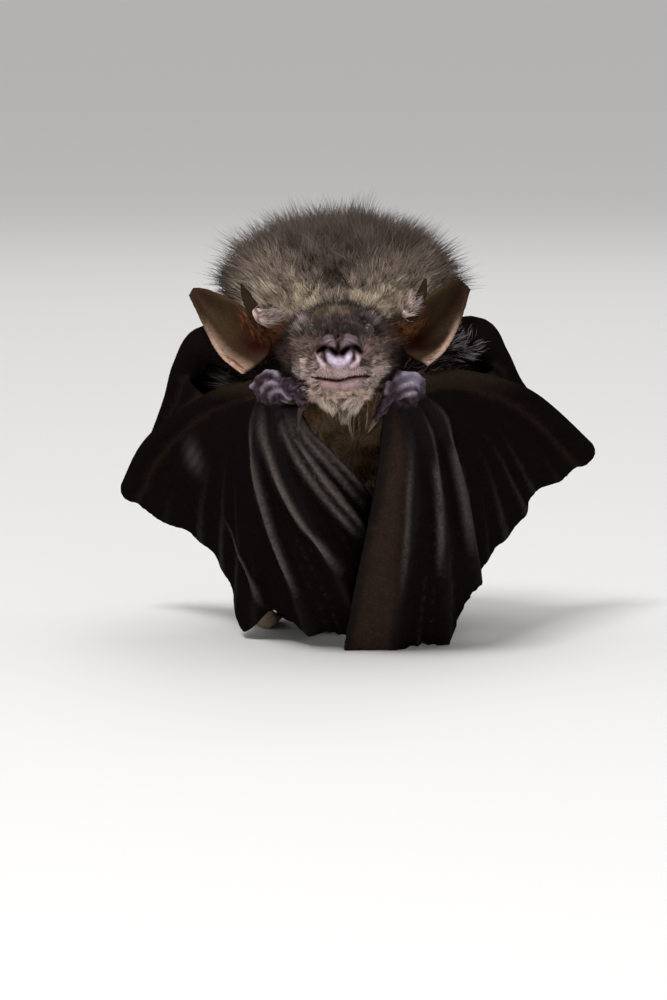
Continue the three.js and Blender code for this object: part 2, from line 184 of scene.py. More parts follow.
# %% The two arms and ears
FINGER = 0.6
ARMS = {
    "left": dict(
        side=1,
        upper_arm=[(13.5, -1.0, 42.5, 3.2), (17.7, 3.5, 40.9, 3.1), (20.3, 9.0, 37.6, 2.8),
                   (23.0, 16.0, 32.6, 2.6), (28.0, 24.6, 27.0, 2.3), (32.0, 29.4, 24.2, 2.1)],
        forearm=[(33.4, 30.4, 22.6, 2.2), (28.2, 22.0, 28.2, 2.0), (24.3, 12.0, 31.8, 1.8),
                 (19.7, 2.0, 34.3, 1.6), (14.9, -8.0, 36.0, 1.5), (11.2, -16.0, 36.2, 1.4),
                 (9.0, -21.0, 35.8, 1.4)],
        wrist=[(9.8, -20.0, 36.0, 1.9), (8.2, -22.2, 36.1, 2.4), (6.9, -23.6, 35.8, 1.9)],
        thumb=[(6.9, -24.4, 36.4, 1.2), (6.1, -25.4, 35.0, 1.0), (5.2, -25.9, 33.5, 0.8),
               (4.3, -26.0, 32.0, 0.5)],
        fingers={
            2: [(6.1, -23.0, 34.0), (5.2, -21.4, 26.0), (4.0, -18.0, 18.5), (1.7, -7.5, 5.6),
                (0.8, -3.0, -0.4)],
            3: [(8.0, -23.2, 33.8), (9.2, -21.6, 27.0), (9.4, -18.6, 20.0), (7.9, -8.0, 7.0),
                (7.1, -3.0, -0.4)],
            4: [(9.5, -22.6, 34.0), (11.6, -20.8, 28.0), (13.2, -15.5, 19.5), (14.2, -4.5, 7.0),
                (14.2, 2.5, -0.4)],
            5: [(10.8, -21.0, 34.3), (13.6, -18.4, 29.2), (15.9, -13.4, 22.6), (17.4, -7.0, 14.6),
                (18.5, -1.0, 8.4)],
        },
        fold=[(18.9, 10.0, 9.2), (21.4, 16.5, 11.8), (25.0, 21.0, 15.2), (26.4, 24.5, 18.0),
              (30.8, 28.2, 19.6), (33.2, 30.2, 21.6)],
        tragus=[(9.0, -14.0, 43.9, 0.9), (9.7, -13.6, 45.6, 1.0), (10.5, -13.2, 47.4, 0.8),
                (11.0, -12.7, 49.4, 0.25)],
        lobe=[(8.0, -15.2, 44.4, 0.4), (8.8, -15.0, 45.6, 0.6), (9.6, -14.8, 47.2, 0.3)],
        ear_inner=[(7.9, -15.5, 43.2), (9.8, -10.5, 45.4), (12.4, -5.6, 47.2), (15.6, -1.0, 48.7)],
        ear_middle=[(8.0, -13.0, 40.4), (11.0, -6.6, 41.6), (14.0, -1.4, 44.2), (16.6, 0.6, 47.6)],
        ear_outer=[(11.0, -18.0, 38.7), (13.4, -12.4, 40.2), (15.5, -5.4, 43.4), (16.9, -0.4, 47.4)],
    ),
    "right": dict(
        side=-1,
        upper_arm=[(-13.5, -1.0, 41.4, 3.2), (-17.3, 3.5, 39.8, 3.1), (-20.0, 9.0, 36.2, 2.8),
                   (-21.8, 16.0, 30.8, 2.6), (-24.8, 24.4, 23.8, 2.3), (-27.2, 29.0, 19.2, 2.1)],
        forearm=[(-28.2, 30.2, 17.6, 2.2), (-25.8, 22.0, 23.2, 2.0), (-22.5, 12.0, 27.5, 1.8),
                 (-18.4, 2.0, 31.2, 1.6), (-14.6, -8.0, 33.9, 1.5), (-11.6, -16.0, 35.3, 1.4),
                 (-9.2, -20.8, 35.9, 1.4)],
        wrist=[(-9.9, -20.0, 36.1, 1.9), (-8.4, -22.2, 36.2, 2.4), (-7.1, -23.6, 35.8, 1.9)],
        thumb=[(-6.8, -24.8, 36.7, 1.2), (-5.5, -26.2, 36.0, 1.1), (-4.8, -26.9, 34.7, 0.8),
               (-5.0, -27.0, 33.3, 0.35)],
        fingers={
            2: [(-5.8, -23.0, 33.8), (-3.4, -21.4, 29.6), (1.0, -16.8, 25.0), (5.6, -9.5, 17.5),
                (8.6, -1.5, 7.2)],
            3: [(-7.0, -23.0, 33.8), (-4.6, -21.4, 28.8), (0.6, -15.6, 21.6), (5.0, -7.6, 11.5),
                (7.6, -1.0, 2.2)],
            4: [(-8.4, -22.6, 33.9), (-7.4, -20.4, 26.0), (-2.8, -15.0, 16.2), (1.6, -6.2, 6.5),
                (3.4, 0.6, -0.4)],
            5: [(-10.2, -21.4, 33.9), (-10.8, -18.6, 26.0), (-9.4, -13.6, 18.2),
                (-5.6, -5.2, 7.2), (-4.0, -0.4, 1.6)],
        },
        fold=[(-8.6, 4.2, 4.4), (-12.8, 8.6, 0.9), (-14.2, 14.5, 5.6), (-16.6, 18.5, 9.8),
              (-20.2, 23.0, 12.6), (-25.6, 27.4, 14.5), (-28.2, 30.0, 16.6)],
        tragus=[(-10.4, -14.0, 43.6, 0.9), (-11.0, -13.6, 45.2, 1.0), (-11.9, -13.2, 46.9, 0.8),
                (-12.7, -12.7, 48.7, 0.25)],
        lobe=[(-8.0, -15.4, 44.7, 0.5), (-9.7, -15.3, 44.5, 1.05), (-11.0, -15.0, 45.5, 0.5)],
        ear_inner=[(-9.9, -15.0, 42.8), (-12.0, -9.0, 44.9), (-14.9, -3.0, 46.3),
                   (-19.0, 3.0, 47.4)],
        ear_middle=[(-9.0, -13.0, 40.0), (-12.2, -6.6, 41.0), (-15.8, -0.4, 43.4),
                    (-19.6, 3.6, 46.4)],
        ear_outer=[(-12.2, -18.0, 37.6), (-15.2, -12.0, 39.4), (-17.4, -4.0, 42.3),
                   (-19.6, 2.6, 46.4)],
    ),
}

# %% [markdown]
# ## Laying a limb along a curve
# A limb could be extruded ring by ring, but a UV sphere already has the rings and two closed ends.
# Each ring is carried to its place along the curve and given its width and height there.
# Every point is also written down in a list with the name of the part it belongs to, so that the
# finished skin can later be asked which part it is near.

# %% Limbs
BLUNT_END = 0.35  # how far a limb bulges past its last ring, in half heights
flesh = []  # the objects that will be melted into one skin
marks = {"part": [], "point": [], "place": []}  # where each part's surface is
part_names = []


def remember(part, points, places):
    if part not in part_names:
        part_names.append(part)
    marks["part"].append(np.full(len(points), part_names.index(part)))
    marks["point"].append(points)
    marks["place"].append(places)


def limb(part, rows, sideways=(1, 0, 0), sides=24, steps=40):
    """A closed limb along rows of x, y, z, half width and half height."""
    path = Curve([row[:3] for row in rows])
    sizes = Curve([(row[3], row[-1]) for row in rows])
    start_fresh()
    bpy.ops.mesh.primitive_uv_sphere_add(segments=sides, ring_count=steps + 2, radius=1)
    piece = bpy.context.object
    piece.name = part
    ball = read(piece.data.vertices, "co")
    ring = np.rint(np.arccos(np.clip(ball[:, 2], -1, 1)) / math.pi * (steps + 2))
    t = np.clip((ring - 1) / steps, 0, 1)
    turn = np.arctan2(ball[:, 1], ball[:, 0])
    tangent = path.direction(t)
    across = unit(np.array(sideways) - tangent * (tangent @ np.array(sideways))[:, None])
    upward = np.cross(tangent, across)
    size = sizes.at(t)
    points = path.at(t)
    pole = (ring == 0) | (ring == steps + 2)
    side = np.where(pole, 0, 1)[:, None]
    points = points + side * across * (np.cos(turn) * size[:, 0])[:, None]
    points = points + side * upward * (np.sin(turn) * size[:, 1])[:, None]
    end = np.where(ring == 0, -1, np.where(ring == steps + 2, 1, 0))[:, None]
    points = points + end * tangent * BLUNT_END * size[:, 1:]
    set_points(piece, points)
    remember(part, points, np.stack([turn / math.pi, t], axis=1))
    bpy.ops.object.mode_set(mode="EDIT")
    bpy.ops.mesh.select_all(action="SELECT")
    bpy.ops.mesh.normals_make_consistent(inside=False)
    bpy.ops.object.mode_set(mode="OBJECT")
    flesh.append(piece)


# %% [markdown]
# ## Laying a web of skin
# The flying skin and the ears are thin sheets. A grid is laid over place(u, v), where u runs from
# one edge to the other and v from the root to the free edge, and Solidify gives it a thickness.

# %% Sheets
RIPPLE = 0.35  # the height of the waves along a loose web


def sheet(part, place, thickness, across, down):
    start_fresh()
    bpy.ops.mesh.primitive_grid_add(x_subdivisions=across, y_subdivisions=down, size=1)
    piece = bpy.context.object
    piece.name = part
    places = read(piece.data.vertices, "co")[:, :2] + 0.5
    points = place(places[:, 0], places[:, 1])
    set_points(piece, points)
    remember(part, points, places)
    apply_modifier(piece, "wall", "SOLIDIFY", thickness=thickness * MM, offset=0)
    flesh.append(piece)


def fan(first, second, edge, bulge=0.0, ripples=0, toward=(0, -1, 0)):
    """The surface between two bones that meet at v = 0, ending along `edge` at v = 1."""
    out = unit(toward)

    def place(u, v):
        share = u[:, None]
        point = lerp(first.at(v), second.at(v), share)
        straight_end = lerp(first.at(1), second.at(1), share)
        point = point + (edge.at(u) - straight_end) * (v**3)[:, None]
        arch = bulge * np.sin(math.pi * u) * np.sin(math.pi * (0.15 + 0.7 * v))
        waves = RIPPLE * np.sin(2 * math.pi * ripples * u) * v
        return point + out * (arch + waves)[:, None]

    return place


# %% [markdown]
# ## The trunk and the head
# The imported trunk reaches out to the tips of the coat. The body under it is much smaller, because
# the wool on a bat's back is as long as its skull is high, so each section gives up the depth of
# its coat. The face has short fur and keeps nearly its full size.

# %% Trunk and head
TRUNK = [  # centre y and z, half width and half height to the tips, depth of the coat
    (38.0, 9.5, 3.5, 3.2, 1.4),
    (34.0, 13.5, 8.6, 8.2, 2.8),
    (27.5, 19.5, 12.8, 12.3, 3.8),
    (19.5, 27.5, 16.0, 15.4, 4.6),
    (11.5, 35.0, 18.4, 17.2, 5.0),
    (4.0, 40.5, 19.6, 17.6, 4.8),
    (-3.0, 42.0, 15.0, 13.6, 4.0),
    (-8.0, 41.4, 9.4, 8.6, 2.4),
    (-12.0, 41.0, 7.8, 6.7, 1.8),
]
HEAD = [
    (-8.5, 40.6, 7.0, 5.6, 2.2),
    (-12.0, 40.4, 8.2, 6.4, 2.1),
    (-16.0, 40.2, 7.9, 6.5, 1.8),
    (-20.0, 39.9, 6.8, 6.1, 1.2),
    (-23.5, 39.2, 5.9, 5.3, 0.7),
    (-26.5, 38.6, 5.2, 4.8, 0.35),
    (-28.8, 38.9, 4.2, 4.0, 0.2),
    (-29.9, 39.2, 2.6, 2.6, 0.15),
]


def under_coat(rows):
    return [(0, y, z, width - depth, height - depth) for y, z, width, height, depth in rows]


limb("trunk", under_coat(TRUNK), sides=64, steps=90)
limb("head", under_coat(HEAD), sides=64, steps=70)
limb("muzzle", [(-3.4, -26.0, 39.2, 2.1, 2.3), (0, -28.0, 39.6, 2.1, 2.3), (3.4, -26.0, 39.2, 2.1, 2.3)],
     sideways=(0, 0, 1))
limb("jaw", [(0, -18.0, 36.6, 4.2, 2.2), (0, -24.0, 36.0, 3.6, 2.0), (0, -27.6, 36.5, 2.3, 1.3)])
limb("nose", [(0, -28.6, 40.6, 2.2, 2.0), (0, -30.0, 40.5, 2.0, 1.5), (0, -30.4, 40.5, 1.4, 1.0)])
print("trunk and head:", len(flesh), "pieces")

# %% [markdown]
# ## Legs, feet and tail
# The hind legs fold forward under the belly, so only the feet and the ends of the tail web can be
# seen from the front. They are alike on both sides and are modelled from the left one's numbers.

# %% Hind limbs
THIGH = [(4.5, 29.0, 15.5, 4.2), (9.5, 32.4, 18.0, 3.5), (13.4, 34.4, 20.0, 2.4), (15.8, 35.4, 21.0, 1.7)]
SHIN = [(16.6, 35.2, 20.6, 1.5), (14.4, 30.0, 15.0, 1.6), (11.6, 23.4, 8.0, 1.3), (9.8, 18.6, 3.0, 1.1)]
FOOT = [(9.7, 17.2, 1.5, 1.2, 1.3), (9.9, 19.8, 1.2, 1.8, 1.1), (10.2, 22.6, 0.9, 2.2, 0.9)]
TAIL = [(0, 38.8, 7.6, 1.6), (0, 40.8, 4.6, 1.2), (0, 39.0, 1.7, 1.0), (0, 32.0, 0.7, 0.85),
        (0, 22.0, 0.6, 0.75), (0, 12.0, 0.6, 0.65)]
TOES, TOE_PITCH, TOE_SPLAY, TOE_START, TOE_LENGTH, TOE_RADIUS = 5, 0.85, 1.25, 22.2, 5.6, 0.45


def mirrored(rows, side):
    return [(row[0] * side, *row[1:]) for row in rows]


toe_tips = {}
limb("tail", TAIL, sides=12)
for name, arm in ARMS.items():
    side = arm["side"]
    limb("thigh", mirrored(THIGH, side))
    limb("shin", mirrored(SHIN, side), sides=16)
    limb("foot", mirrored(FOOT, side), sides=16, steps=12)
    toe_tips[name] = []
    for toe in range(TOES):
        offset = toe - (TOES - 1) / 2
        root = (FOOT[-1][0] + offset * TOE_PITCH) * side
        tip = (FOOT[-1][0] + offset * TOE_PITCH * TOE_SPLAY) * side
        length = TOE_LENGTH - 0.15 * offset * offset
        limb("foot", [(root, TOE_START, 0.8, TOE_RADIUS),
                      (tip, TOE_START + length * 0.5, 1.1, TOE_RADIUS),
                      (tip, TOE_START + length * 0.8, 0.5, TOE_RADIUS * 0.7)], sides=10, steps=12)
        toe_tips[name].append((tip, TOE_START + length * 0.74, 0.8))
print("legs and tail:", len(flesh), "pieces so far")

# %% [markdown]
# ## Arms, fingers and wings
# The upper arm starts inside the body, so that the shoulder grows out of it. The wrists are the
# bare knuckled lumps beside the chin: each is one limb with smaller ones crossing it, which leaves
# creases between them once they are melted together.

# %% Arms and fingers
for name, arm in ARMS.items():
    side = arm["side"]
    height = arm["upper_arm"][0][2]
    shoulder = [(6.5 * side, -2.0, height - 4, 3.4), (12.3 * side, 0.8, height - 2.7, 2.5)]
    limb("upper_arm", shoulder + [(x, y, z, r - 0.6) for x, y, z, r in arm["upper_arm"][1:]])
    limb("forearm", [(x, y, z, r - 0.15) for x, y, z, r in arm["forearm"]])
    limb("wrist", [(x, y, z, r - 0.35) for x, y, z, r in arm["wrist"]], sides=20, steps=16)
    limb("thumb", [(x, y, z, r - 0.1) for x, y, z, r in arm["thumb"]], sides=16, steps=20)
    for across, lift, depth, radius in [(9.6, 36.9, -21.9, 1.0), (8.0, 37.4, -23.2, 0.9),
                                        (6.6, 35.4, -24.6, 0.9), (8.9, 35.0, -23.6, 1.0),
                                        (7.6, 36.3, -24.5, 0.8)]:
        limb("wrist", [(side * (across - 0.9), depth, lift + 0.35, radius * 0.75),
                       (side * across, depth - 0.15, lift, radius),
                       (side * (across + 0.9), depth + 0.3, lift - 0.25, radius * 0.7)],
             sideways=(0, 1, 0), sides=14, steps=10)
    for digit, points in arm["fingers"].items():
        rows = [(*point, FINGER * (1 - 0.08 * i)) for i, point in enumerate(points)]
        limb(f"finger_{digit}_{name}", rows, sides=12, steps=70)
print("arms:", len(flesh), "pieces so far")

# %% [markdown]
# The wing is one skin stretched from the arm to every finger in turn, then to the body, the leg
# and the tail. Each panel fans out from where its two bones meet. The panel between the arm and
# the fifth finger is the widest, and hangs in folds because the wing isn't stretched.

# %% Wings
WEB = 0.55
FRONT_OF_FOOT = 9  # the flank web stays behind this y
TAIL_WEB_EDGE = [(1.2, 12.0, 0.7), (4.5, 14.8, 1.0), (8.4, 16.0, 2.2)]
FLANK = [(9, 5, 35), (9.5, 15, 26), (10.5, 25, 18), (15.4, 32, 17), (11.6, 20.5, 5.4)]
LEG_LINE = [(5, 37.6, 9.5), (10.5, 38.2, 14), (14.5, 36.4, 17.5), (13.4, 29, 12.4), (9.6, 17.6, 2.6)]


def only_places(rows):
    return [row[:3] for row in rows]


for name, arm in ARMS.items():
    side = arm["side"]
    fingers = arm["fingers"]
    bone = {digit: Curve(points) for digit, points in fingers.items()}
    from_wrist = Curve(only_places(arm["forearm"][::-1]))
    edge = Curve([fingers[5][-1]] + arm["fold"])
    sheet(f"arm_web_{name}", fan(bone[5], from_wrist, edge, bulge=2.2, ripples=3), WEB, 90, 110)
    for outer, inner, rise in [(5, 4, 1.5), (4, 3, 0.8), (3, 2, 0.2)]:
        first_tip, second_tip = np.array(fingers[outer][-1]), np.array(fingers[inner][-1])
        middle = (first_tip + second_tip) / 2 + np.array((0, 0, rise))
        edge = Curve([first_tip, middle, second_tip])
        sheet(f"web_{outer}_{inner}_{name}", fan(bone[outer], bone[inner], edge, bulge=-0.45), WEB, 40, 130)
    forearm_up = Curve(only_places(arm["forearm"]))
    upper_arm_back = Curve(only_places(arm["upper_arm"][::-1]))
    edge = Curve([arm["forearm"][-3][:3], (20 * side, 6, 37.5), arm["upper_arm"][1][:3]])
    shoulder_web = fan(forearm_up, upper_arm_back, edge)
    sheet("shoulder_web", lambda u, v: shoulder_web(u, v * 0.62), WEB, 40, 80)
    ankle = (11.2 * side, 18.6, 4.4)
    back_edge = [point for point in arm["fold"][::-1] if point[1] > FRONT_OF_FOOT] + [ankle]
    edge = Curve([(x - side, y + 1.2, z + 0.2) for x, y, z in back_edge])
    flank_web = fan(Curve(only_places(arm["upper_arm"])), Curve(mirrored(FLANK, side)), edge,
                    bulge=0.8, toward=(side, 0.4, 0))
    sheet("flank_web", flank_web, WEB, 90, 80)
    tail_web = fan(Curve(only_places([(x, y, z) for x, y, z, _ in TAIL])), Curve(mirrored(LEG_LINE, side)),
                   Curve(mirrored(TAIL_WEB_EDGE, side)), bulge=0.6, toward=(0, 0.3, -1))
    sheet("tail_web", tail_web, WEB, 50, 110)
print("wings:", len(flesh), "pieces so far")

# %% [markdown]
# ## Ears
# Each ear is one long leaf, rolled into an open scoop that faces forward. A curve along each edge
# and one along the hollow of the scoop carry it, and a second, narrow leaf, the tragus, stands in
# front of its opening.

# %% Ears
EAR_SKIN = 0.6


def scoop(arm):
    inner, middle, outer = (Curve(arm["ear_" + line]) for line in ("inner", "middle", "outer"))

    def place(across, along):
        a, b = inner.at(along), outer.at(along)
        handle = 2 * middle.at(along) - (a + b) / 2
        u = across[:, None]
        return (1 - u) ** 2 * a + 2 * u * (1 - u) * handle + u**2 * b

    return place


for name, arm in ARMS.items():
    sheet(f"ear_{name}", scoop(arm), EAR_SKIN, 70, 90)
    for line in ("inner", "outer"):
        rim = Curve(arm["ear_" + line]).at(np.linspace(0, 0.94, 7))
        rows = [(*point, 0.36 - 0.03 * i) for i, point in enumerate(rim)]
        limb(f"ear_rim_{line}_{name}", rows, sides=10, steps=50)
    limb(f"tragus_{name}", [(x, y, z, r, 0.32) for x, y, z, r in arm["tragus"]], sides=16, steps=30)
    limb("lobe", [(x, y, z, r, r * 0.7) for x, y, z, r in arm["lobe"]], sides=16, steps=16)
print("ears:", len(flesh), "pieces in all")

# %% [markdown]
# ## Melting everything into one skin
# A real animal has one skin, so the limbs and webs are joined and remeshed on a grid of small
# cubes. Voxel Remesh closes every crossing and leaves no seam, which a boolean of a hundred thin
# pieces would not do reliably. A light smoothing takes the steps out again.

# %% One skin
VOXEL = 0.3
skin = join(flesh, "skin")
apply_modifier(skin, "melt", "REMESH", mode="VOXEL", voxel_size=VOXEL * MM)
apply_modifier(skin, "ease", "SMOOTH", factor=0.5, iterations=3)
print("skin:", len(skin.data.polygons), "faces")

# %% [markdown]
# The remesh spends as many faces on the hidden body as on the face. Decimate thins the mesh where
# the weights say so: the trunk lies under deep fur, and the wings are smooth.

# %% Thin out the hidden faces
points = get_points(skin)
on_face = (points[:, 1] < -7) & (points[:, 2] > 32.5) & (np.abs(points[:, 0]) < 21)
sections = np.array(TRUNK)[::-1].T
mid_z, half_width, half_height = (np.interp(points[:, 1], sections[0], row) for row in sections[1:4])
under_fur = (points[:, 0] / half_width) ** 2 + ((points[:, 2] - mid_z) / half_height) ** 2 < 0.95
free = skin.vertex_groups.new(name="free")
free.add(np.flatnonzero(~on_face).tolist(), 0.25, "REPLACE")
free.add(np.flatnonzero(under_fur & ~on_face).tolist(), 1.0, "REPLACE")
apply_modifier(skin, "thin", "DECIMATE", ratio=0.27, vertex_group="free", vertex_group_factor=0.6)
skin.vertex_groups.clear()
print("skin:", triangles(skin), "triangles")

# %% [markdown]
# The muzzle carries the finest shapes, so its faces are divided once more before they are shaped.

# %% Finer faces on the muzzle
points = get_points(skin)
start_fresh(skin)
bpy.ops.object.mode_set(mode="EDIT")
bpy.ops.mesh.select_all(action="DESELECT")
bpy.ops.object.mode_set(mode="OBJECT")
fine = (points[:, 1] < -25.2) & (np.abs(points[:, 0]) < 5.2) & (points[:, 2] > 34.5) & (points[:, 2] < 44)
skin.data.vertices.foreach_set("select", fine)
bpy.ops.object.mode_set(mode="EDIT")
bpy.ops.mesh.select_mode(type="VERT")
bpy.ops.mesh.subdivide(number_cuts=1, smoothness=0.3)
bpy.ops.mesh.select_all(action="SELECT")
bpy.ops.mesh.quads_convert_to_tris()
bpy.ops.object.mode_set(mode="OBJECT")
print("skin:", triangles(skin), "triangles")

# %% [markdown]
# Which part is each point of the skin near? A search tree over the points that were written down
# answers that, and gives the place along and across the part too. Everything after this, from the
# wrinkles to the colours and the fur, is drawn by these answers.

# %% Know the parts again
mark_part = np.concatenate(marks["part"])
mark_point = np.concatenate(marks["point"])
mark_place = np.concatenate(marks["place"])
tree = KDTree(len(mark_point))
for index, point in enumerate(mark_point):
    tree.insert(point, index)
tree.balance()
points = get_points(skin)
nearest = np.array([tree.find(point)[1] for point in points])
part_of, place_of = mark_part[nearest], mark_place[nearest]

pairs = read(skin.data.edges, "vertices", int, 2)
neighbours = np.maximum(np.bincount(pairs.ravel(), minlength=len(points)), 1)


def spread(values, rounds):
    """Softens one number per point by averaging it with its neighbours'."""
    values = np.asarray(values, float)
    for _ in range(rounds):
        total = np.bincount(pairs[:, 0], values[pairs[:, 1]], len(points))
        total += np.bincount(pairs[:, 1], values[pairs[:, 0]], len(points))
        values = (values + total / neighbours) / 2
    return values


def near(*names, rounds=3):
    """How much each point belongs to the parts whose names start with these words."""
    wanted = [index for index, part in enumerate(part_names) if part.startswith(names)]
    return spread(np.isin(part_of, wanted), rounds)


def normals_of(piece):
    return read(piece.data.vertex_normals, "vector")


print("parts:", len(part_names), "marks:", len(mark_point))

# %% [markdown]
# ## Shaping the face
# The face is drawn on from the front, as a taxidermist would with a modelling tool: each stroke
# is a line in x and z, a width and a height. A stroke with a negative height presses a groove.
# Under the mouth the throat is drawn in, so that the jaw stands free between the thumbs.

# %% Strokes on the face
front = ramp(points[:, 1], -20.5, -23) * (np.abs(points[:, 0]) < 8)
normals = normals_of(skin)
front *= np.clip(0.35 - normals[:, 1], 0, 1)


def distance_to_line(flat_points, line):
    line = np.array(line, float)
    best = np.full(len(flat_points), 1e9)
    if len(line) == 1:
        return np.linalg.norm(flat_points - line[0], axis=1)
    for a, b in zip(line[:-1], line[1:]):
        along = np.clip(((flat_points - a) @ (b - a)) / ((b - a) @ (b - a)), 0, 1)
        best = np.minimum(best, np.linalg.norm(flat_points - a - along[:, None] * (b - a), axis=1))
    return best


def stroke(line, width):
    """How strongly each point lies under a line drawn on the face, from 0 to 1."""
    return np.exp(-(distance_to_line(points[:, [0, 2]], line) / width) ** 2) * front


def curved(line, count=24):
    return Curve(line).at(np.linspace(0, 1, count))


MOUTH = curved([(-3.5, 37.95), (-1.9, 37.75), (-0.25, 37.6), (1.2, 38.0), (3.1, 38.1), (4.1, 37.9)])
UPPER_LIP = curved([(-2.2, 38.75), (-0.2, 38.5), (2.5, 38.8)])
LOWER_LIP = curved([(-2.0, 37.1), (-0.3, 36.8), (2.4, 37.2)])
NOSTRIL_RIGHT = curved([(-2.75, 41.05), (-2.0, 41.55), (-1.15, 41.5), (-0.65, 41.05)])
NOSTRIL_LEFT = curved([(0.4, 41.1), (1.05, 41.65), (1.95, 41.65), (2.55, 41.0)])
SLIT_RIGHT = curved([(-2.0, 41.0), (-1.95, 40.5), (-1.85, 40.0)])
SLIT_LEFT = curved([(1.65, 41.3), (1.8, 40.8), (1.7, 40.3)])
RIM_RIGHT = curved([(-2.75, 40.9), (-2.6, 40.15), (-2.0, 39.4)])
RIM_LEFT = curved([(2.35, 40.85), (2.2, 39.95), (1.5, 39.4)])
PAD = curved([(-1.35, 40.7), (-1.05, 40.0), (-0.15, 39.6), (0.75, 39.95), (1.2, 40.75)])
GROOVE = [(-0.25, 43.6), (-0.25, 41.5)]
NOTCH = [(-0.45, 41.0), (0.3, 41.05)]
MOUNDS = [(-1.45, 42.35), (-1.35, 42.1)], [(1.05, 42.45), (1.6, 42.2)]
strokes = [  # line, width, height in millimetres
    (MOUNDS[0], 0.75, 0.9), (MOUNDS[1], 0.85, 0.9),
    (GROOVE, 0.24, -0.8), (NOTCH, 0.24, -0.3),
    (PAD, 0.5, 0.7), (RIM_RIGHT, 0.42, 0.6), (RIM_LEFT, 0.36, 0.6),
    (NOSTRIL_RIGHT, 0.3, -1.5), (NOSTRIL_LEFT, 0.3, -1.5),
    (SLIT_RIGHT, 0.2, -0.6), (SLIT_LEFT, 0.2, -0.6),
    (UPPER_LIP, 0.5, 0.2), (LOWER_LIP, 0.4, 0.15), (MOUTH, 0.15, -0.6),
]
NARROWER_JAW = 0.34  # the share of its width that the jaw loses at the bottom
lift = sum(stroke(line, width) * height for line, width, height in strokes)
points = points + lift[:, None] * unit(0.5 * normals + np.array((0, -1, 0)))
under_mouth = ramp(points[:, 2], 38.4, 35) * ramp(points[:, 1], -18, -21)
points[:, 0] *= 1 - NARROWER_JAW * under_mouth * near("head", "muzzle", "jaw")

# %% [markdown]
# The eyes of this bat are small beads. Each sits in a shallow socket with a raised lid around it,
# so a ring is lifted round the eye and the skin inside it is pressed back under the eyeball.

# %% Sockets and lids
LID_HEIGHT, LID_WIDTH, LID_GAP, SOCKET_DEPTH = 0.32, 0.35, 0.3, 0.9
for name in ("right", "left"):
    away = points - EYES[name]
    reach = np.linalg.norm(away, axis=1)
    lid = np.exp(-((reach - EYE_RADIUS - LID_GAP) / LID_WIDTH) ** 2)
    socket = np.clip(1 - reach / (EYE_RADIUS + 0.05), 0, 1)
    outward = unit((SIDES[name] * 0.45, -0.55, 0.7))
    brow = 1 + 0.9 * np.clip(away[:, 2] / EYE_RADIUS, 0, 1)
    points = points + (lid * LID_HEIGHT * brow)[:, None] * outward
    points = points - (socket * SOCKET_DEPTH)[:, None] * outward

# %% [markdown]
# Thin skin wrinkles. The wings hang from the wrists in raised folds with valleys beside them, and
# each fold is a line through space. The wrists have creases of their own, a row of low ridges
# crosses the outer half of an ear, and fine pleats run down between the fingers.

# %% Wrinkles and pleats
WING_FOLDS = [  # width, how strongly it catches the light, and points down each raised fold
    (0.45, 0.75, [(-10.9, -20.8, 34.0), (-11.4, -19.6, 30.2), (-11.2, -18.8, 25.9), (-10.0, -15.7, 20.5),
      (-8.7, -12.3, 15.6), (-7.0, -8.4, 10.6), (-5.4, -5.5, 6.9)]),
    (0.55, 1.0, [(-9.8, -22.0, 34.0), (-9.9, -20.9, 30.6), (-8.9, -20.1, 26.7), (-6.9, -17.8, 21.7),
      (-5.0, -15.8, 18.3), (-2.5, -14.3, 14.8), (0.7, -9.8, 10.6)]),
    (0.36, 0.8, [(-8.0, -23.2, 33.4), (-7.2, -22.0, 30.7), (-5.2, -20.3, 26.4), (-2.3, -17.0, 21.9),
      (0.7, -13.8, 18.1), (2.9, -11.2, 15.4)]),
    (0.36, 1.0, [(-7.4, -23.6, 33.4), (-6.3, -22.5, 31.0), (-4.0, -20.8, 27.0), (-1.0, -17.0, 22.5),
      (2.1, -13.7, 18.6), (3.4, -11.8, 16.8)]),
    (0.34, 0.8, [(-6.8, -23.8, 33.4), (-5.3, -22.6, 31.0), (-2.8, -20.4, 27.7), (0.3, -16.8, 23.8),
      (3.4, -12.5, 19.5)]),
    (0.36, 0.7, [(-6.2, -23.8, 33.4), (-4.3, -22.6, 31.0), (-1.3, -20.0, 27.7), (1.6, -16.7, 24.4),
      (3.9, -13.3, 21.5)]),
    (0.45, 0.6, [(-15.6, 5.0, 16.9), (-13.8, 3.7, 13.1), (-11.9, 0.8, 9.0), (-10.3, 3.6, 4.7)]),
    (0.4, 0.6, [(10.0, -22.6, 34.0), (11.4, -21.2, 30.6), (12.5, -19.1, 24.0), (13.0, -14.2, 17.1),
      (13.0, -7.6, 9.8)]),
    (0.6, 0.5, [(11.2, -20.6, 34.6), (13.6, -17.8, 31.6), (14.8, -17.2, 27.0), (16.3, -11.6, 19.4),
      (17.5, -5.4, 12.2)]),
    (0.35, 0.5, [(9.0, -22.9, 30.8), (8.9, -20.9, 24.2), (8.6, -16.0, 16.0), (7.8, -8.7, 7.3)]),
]
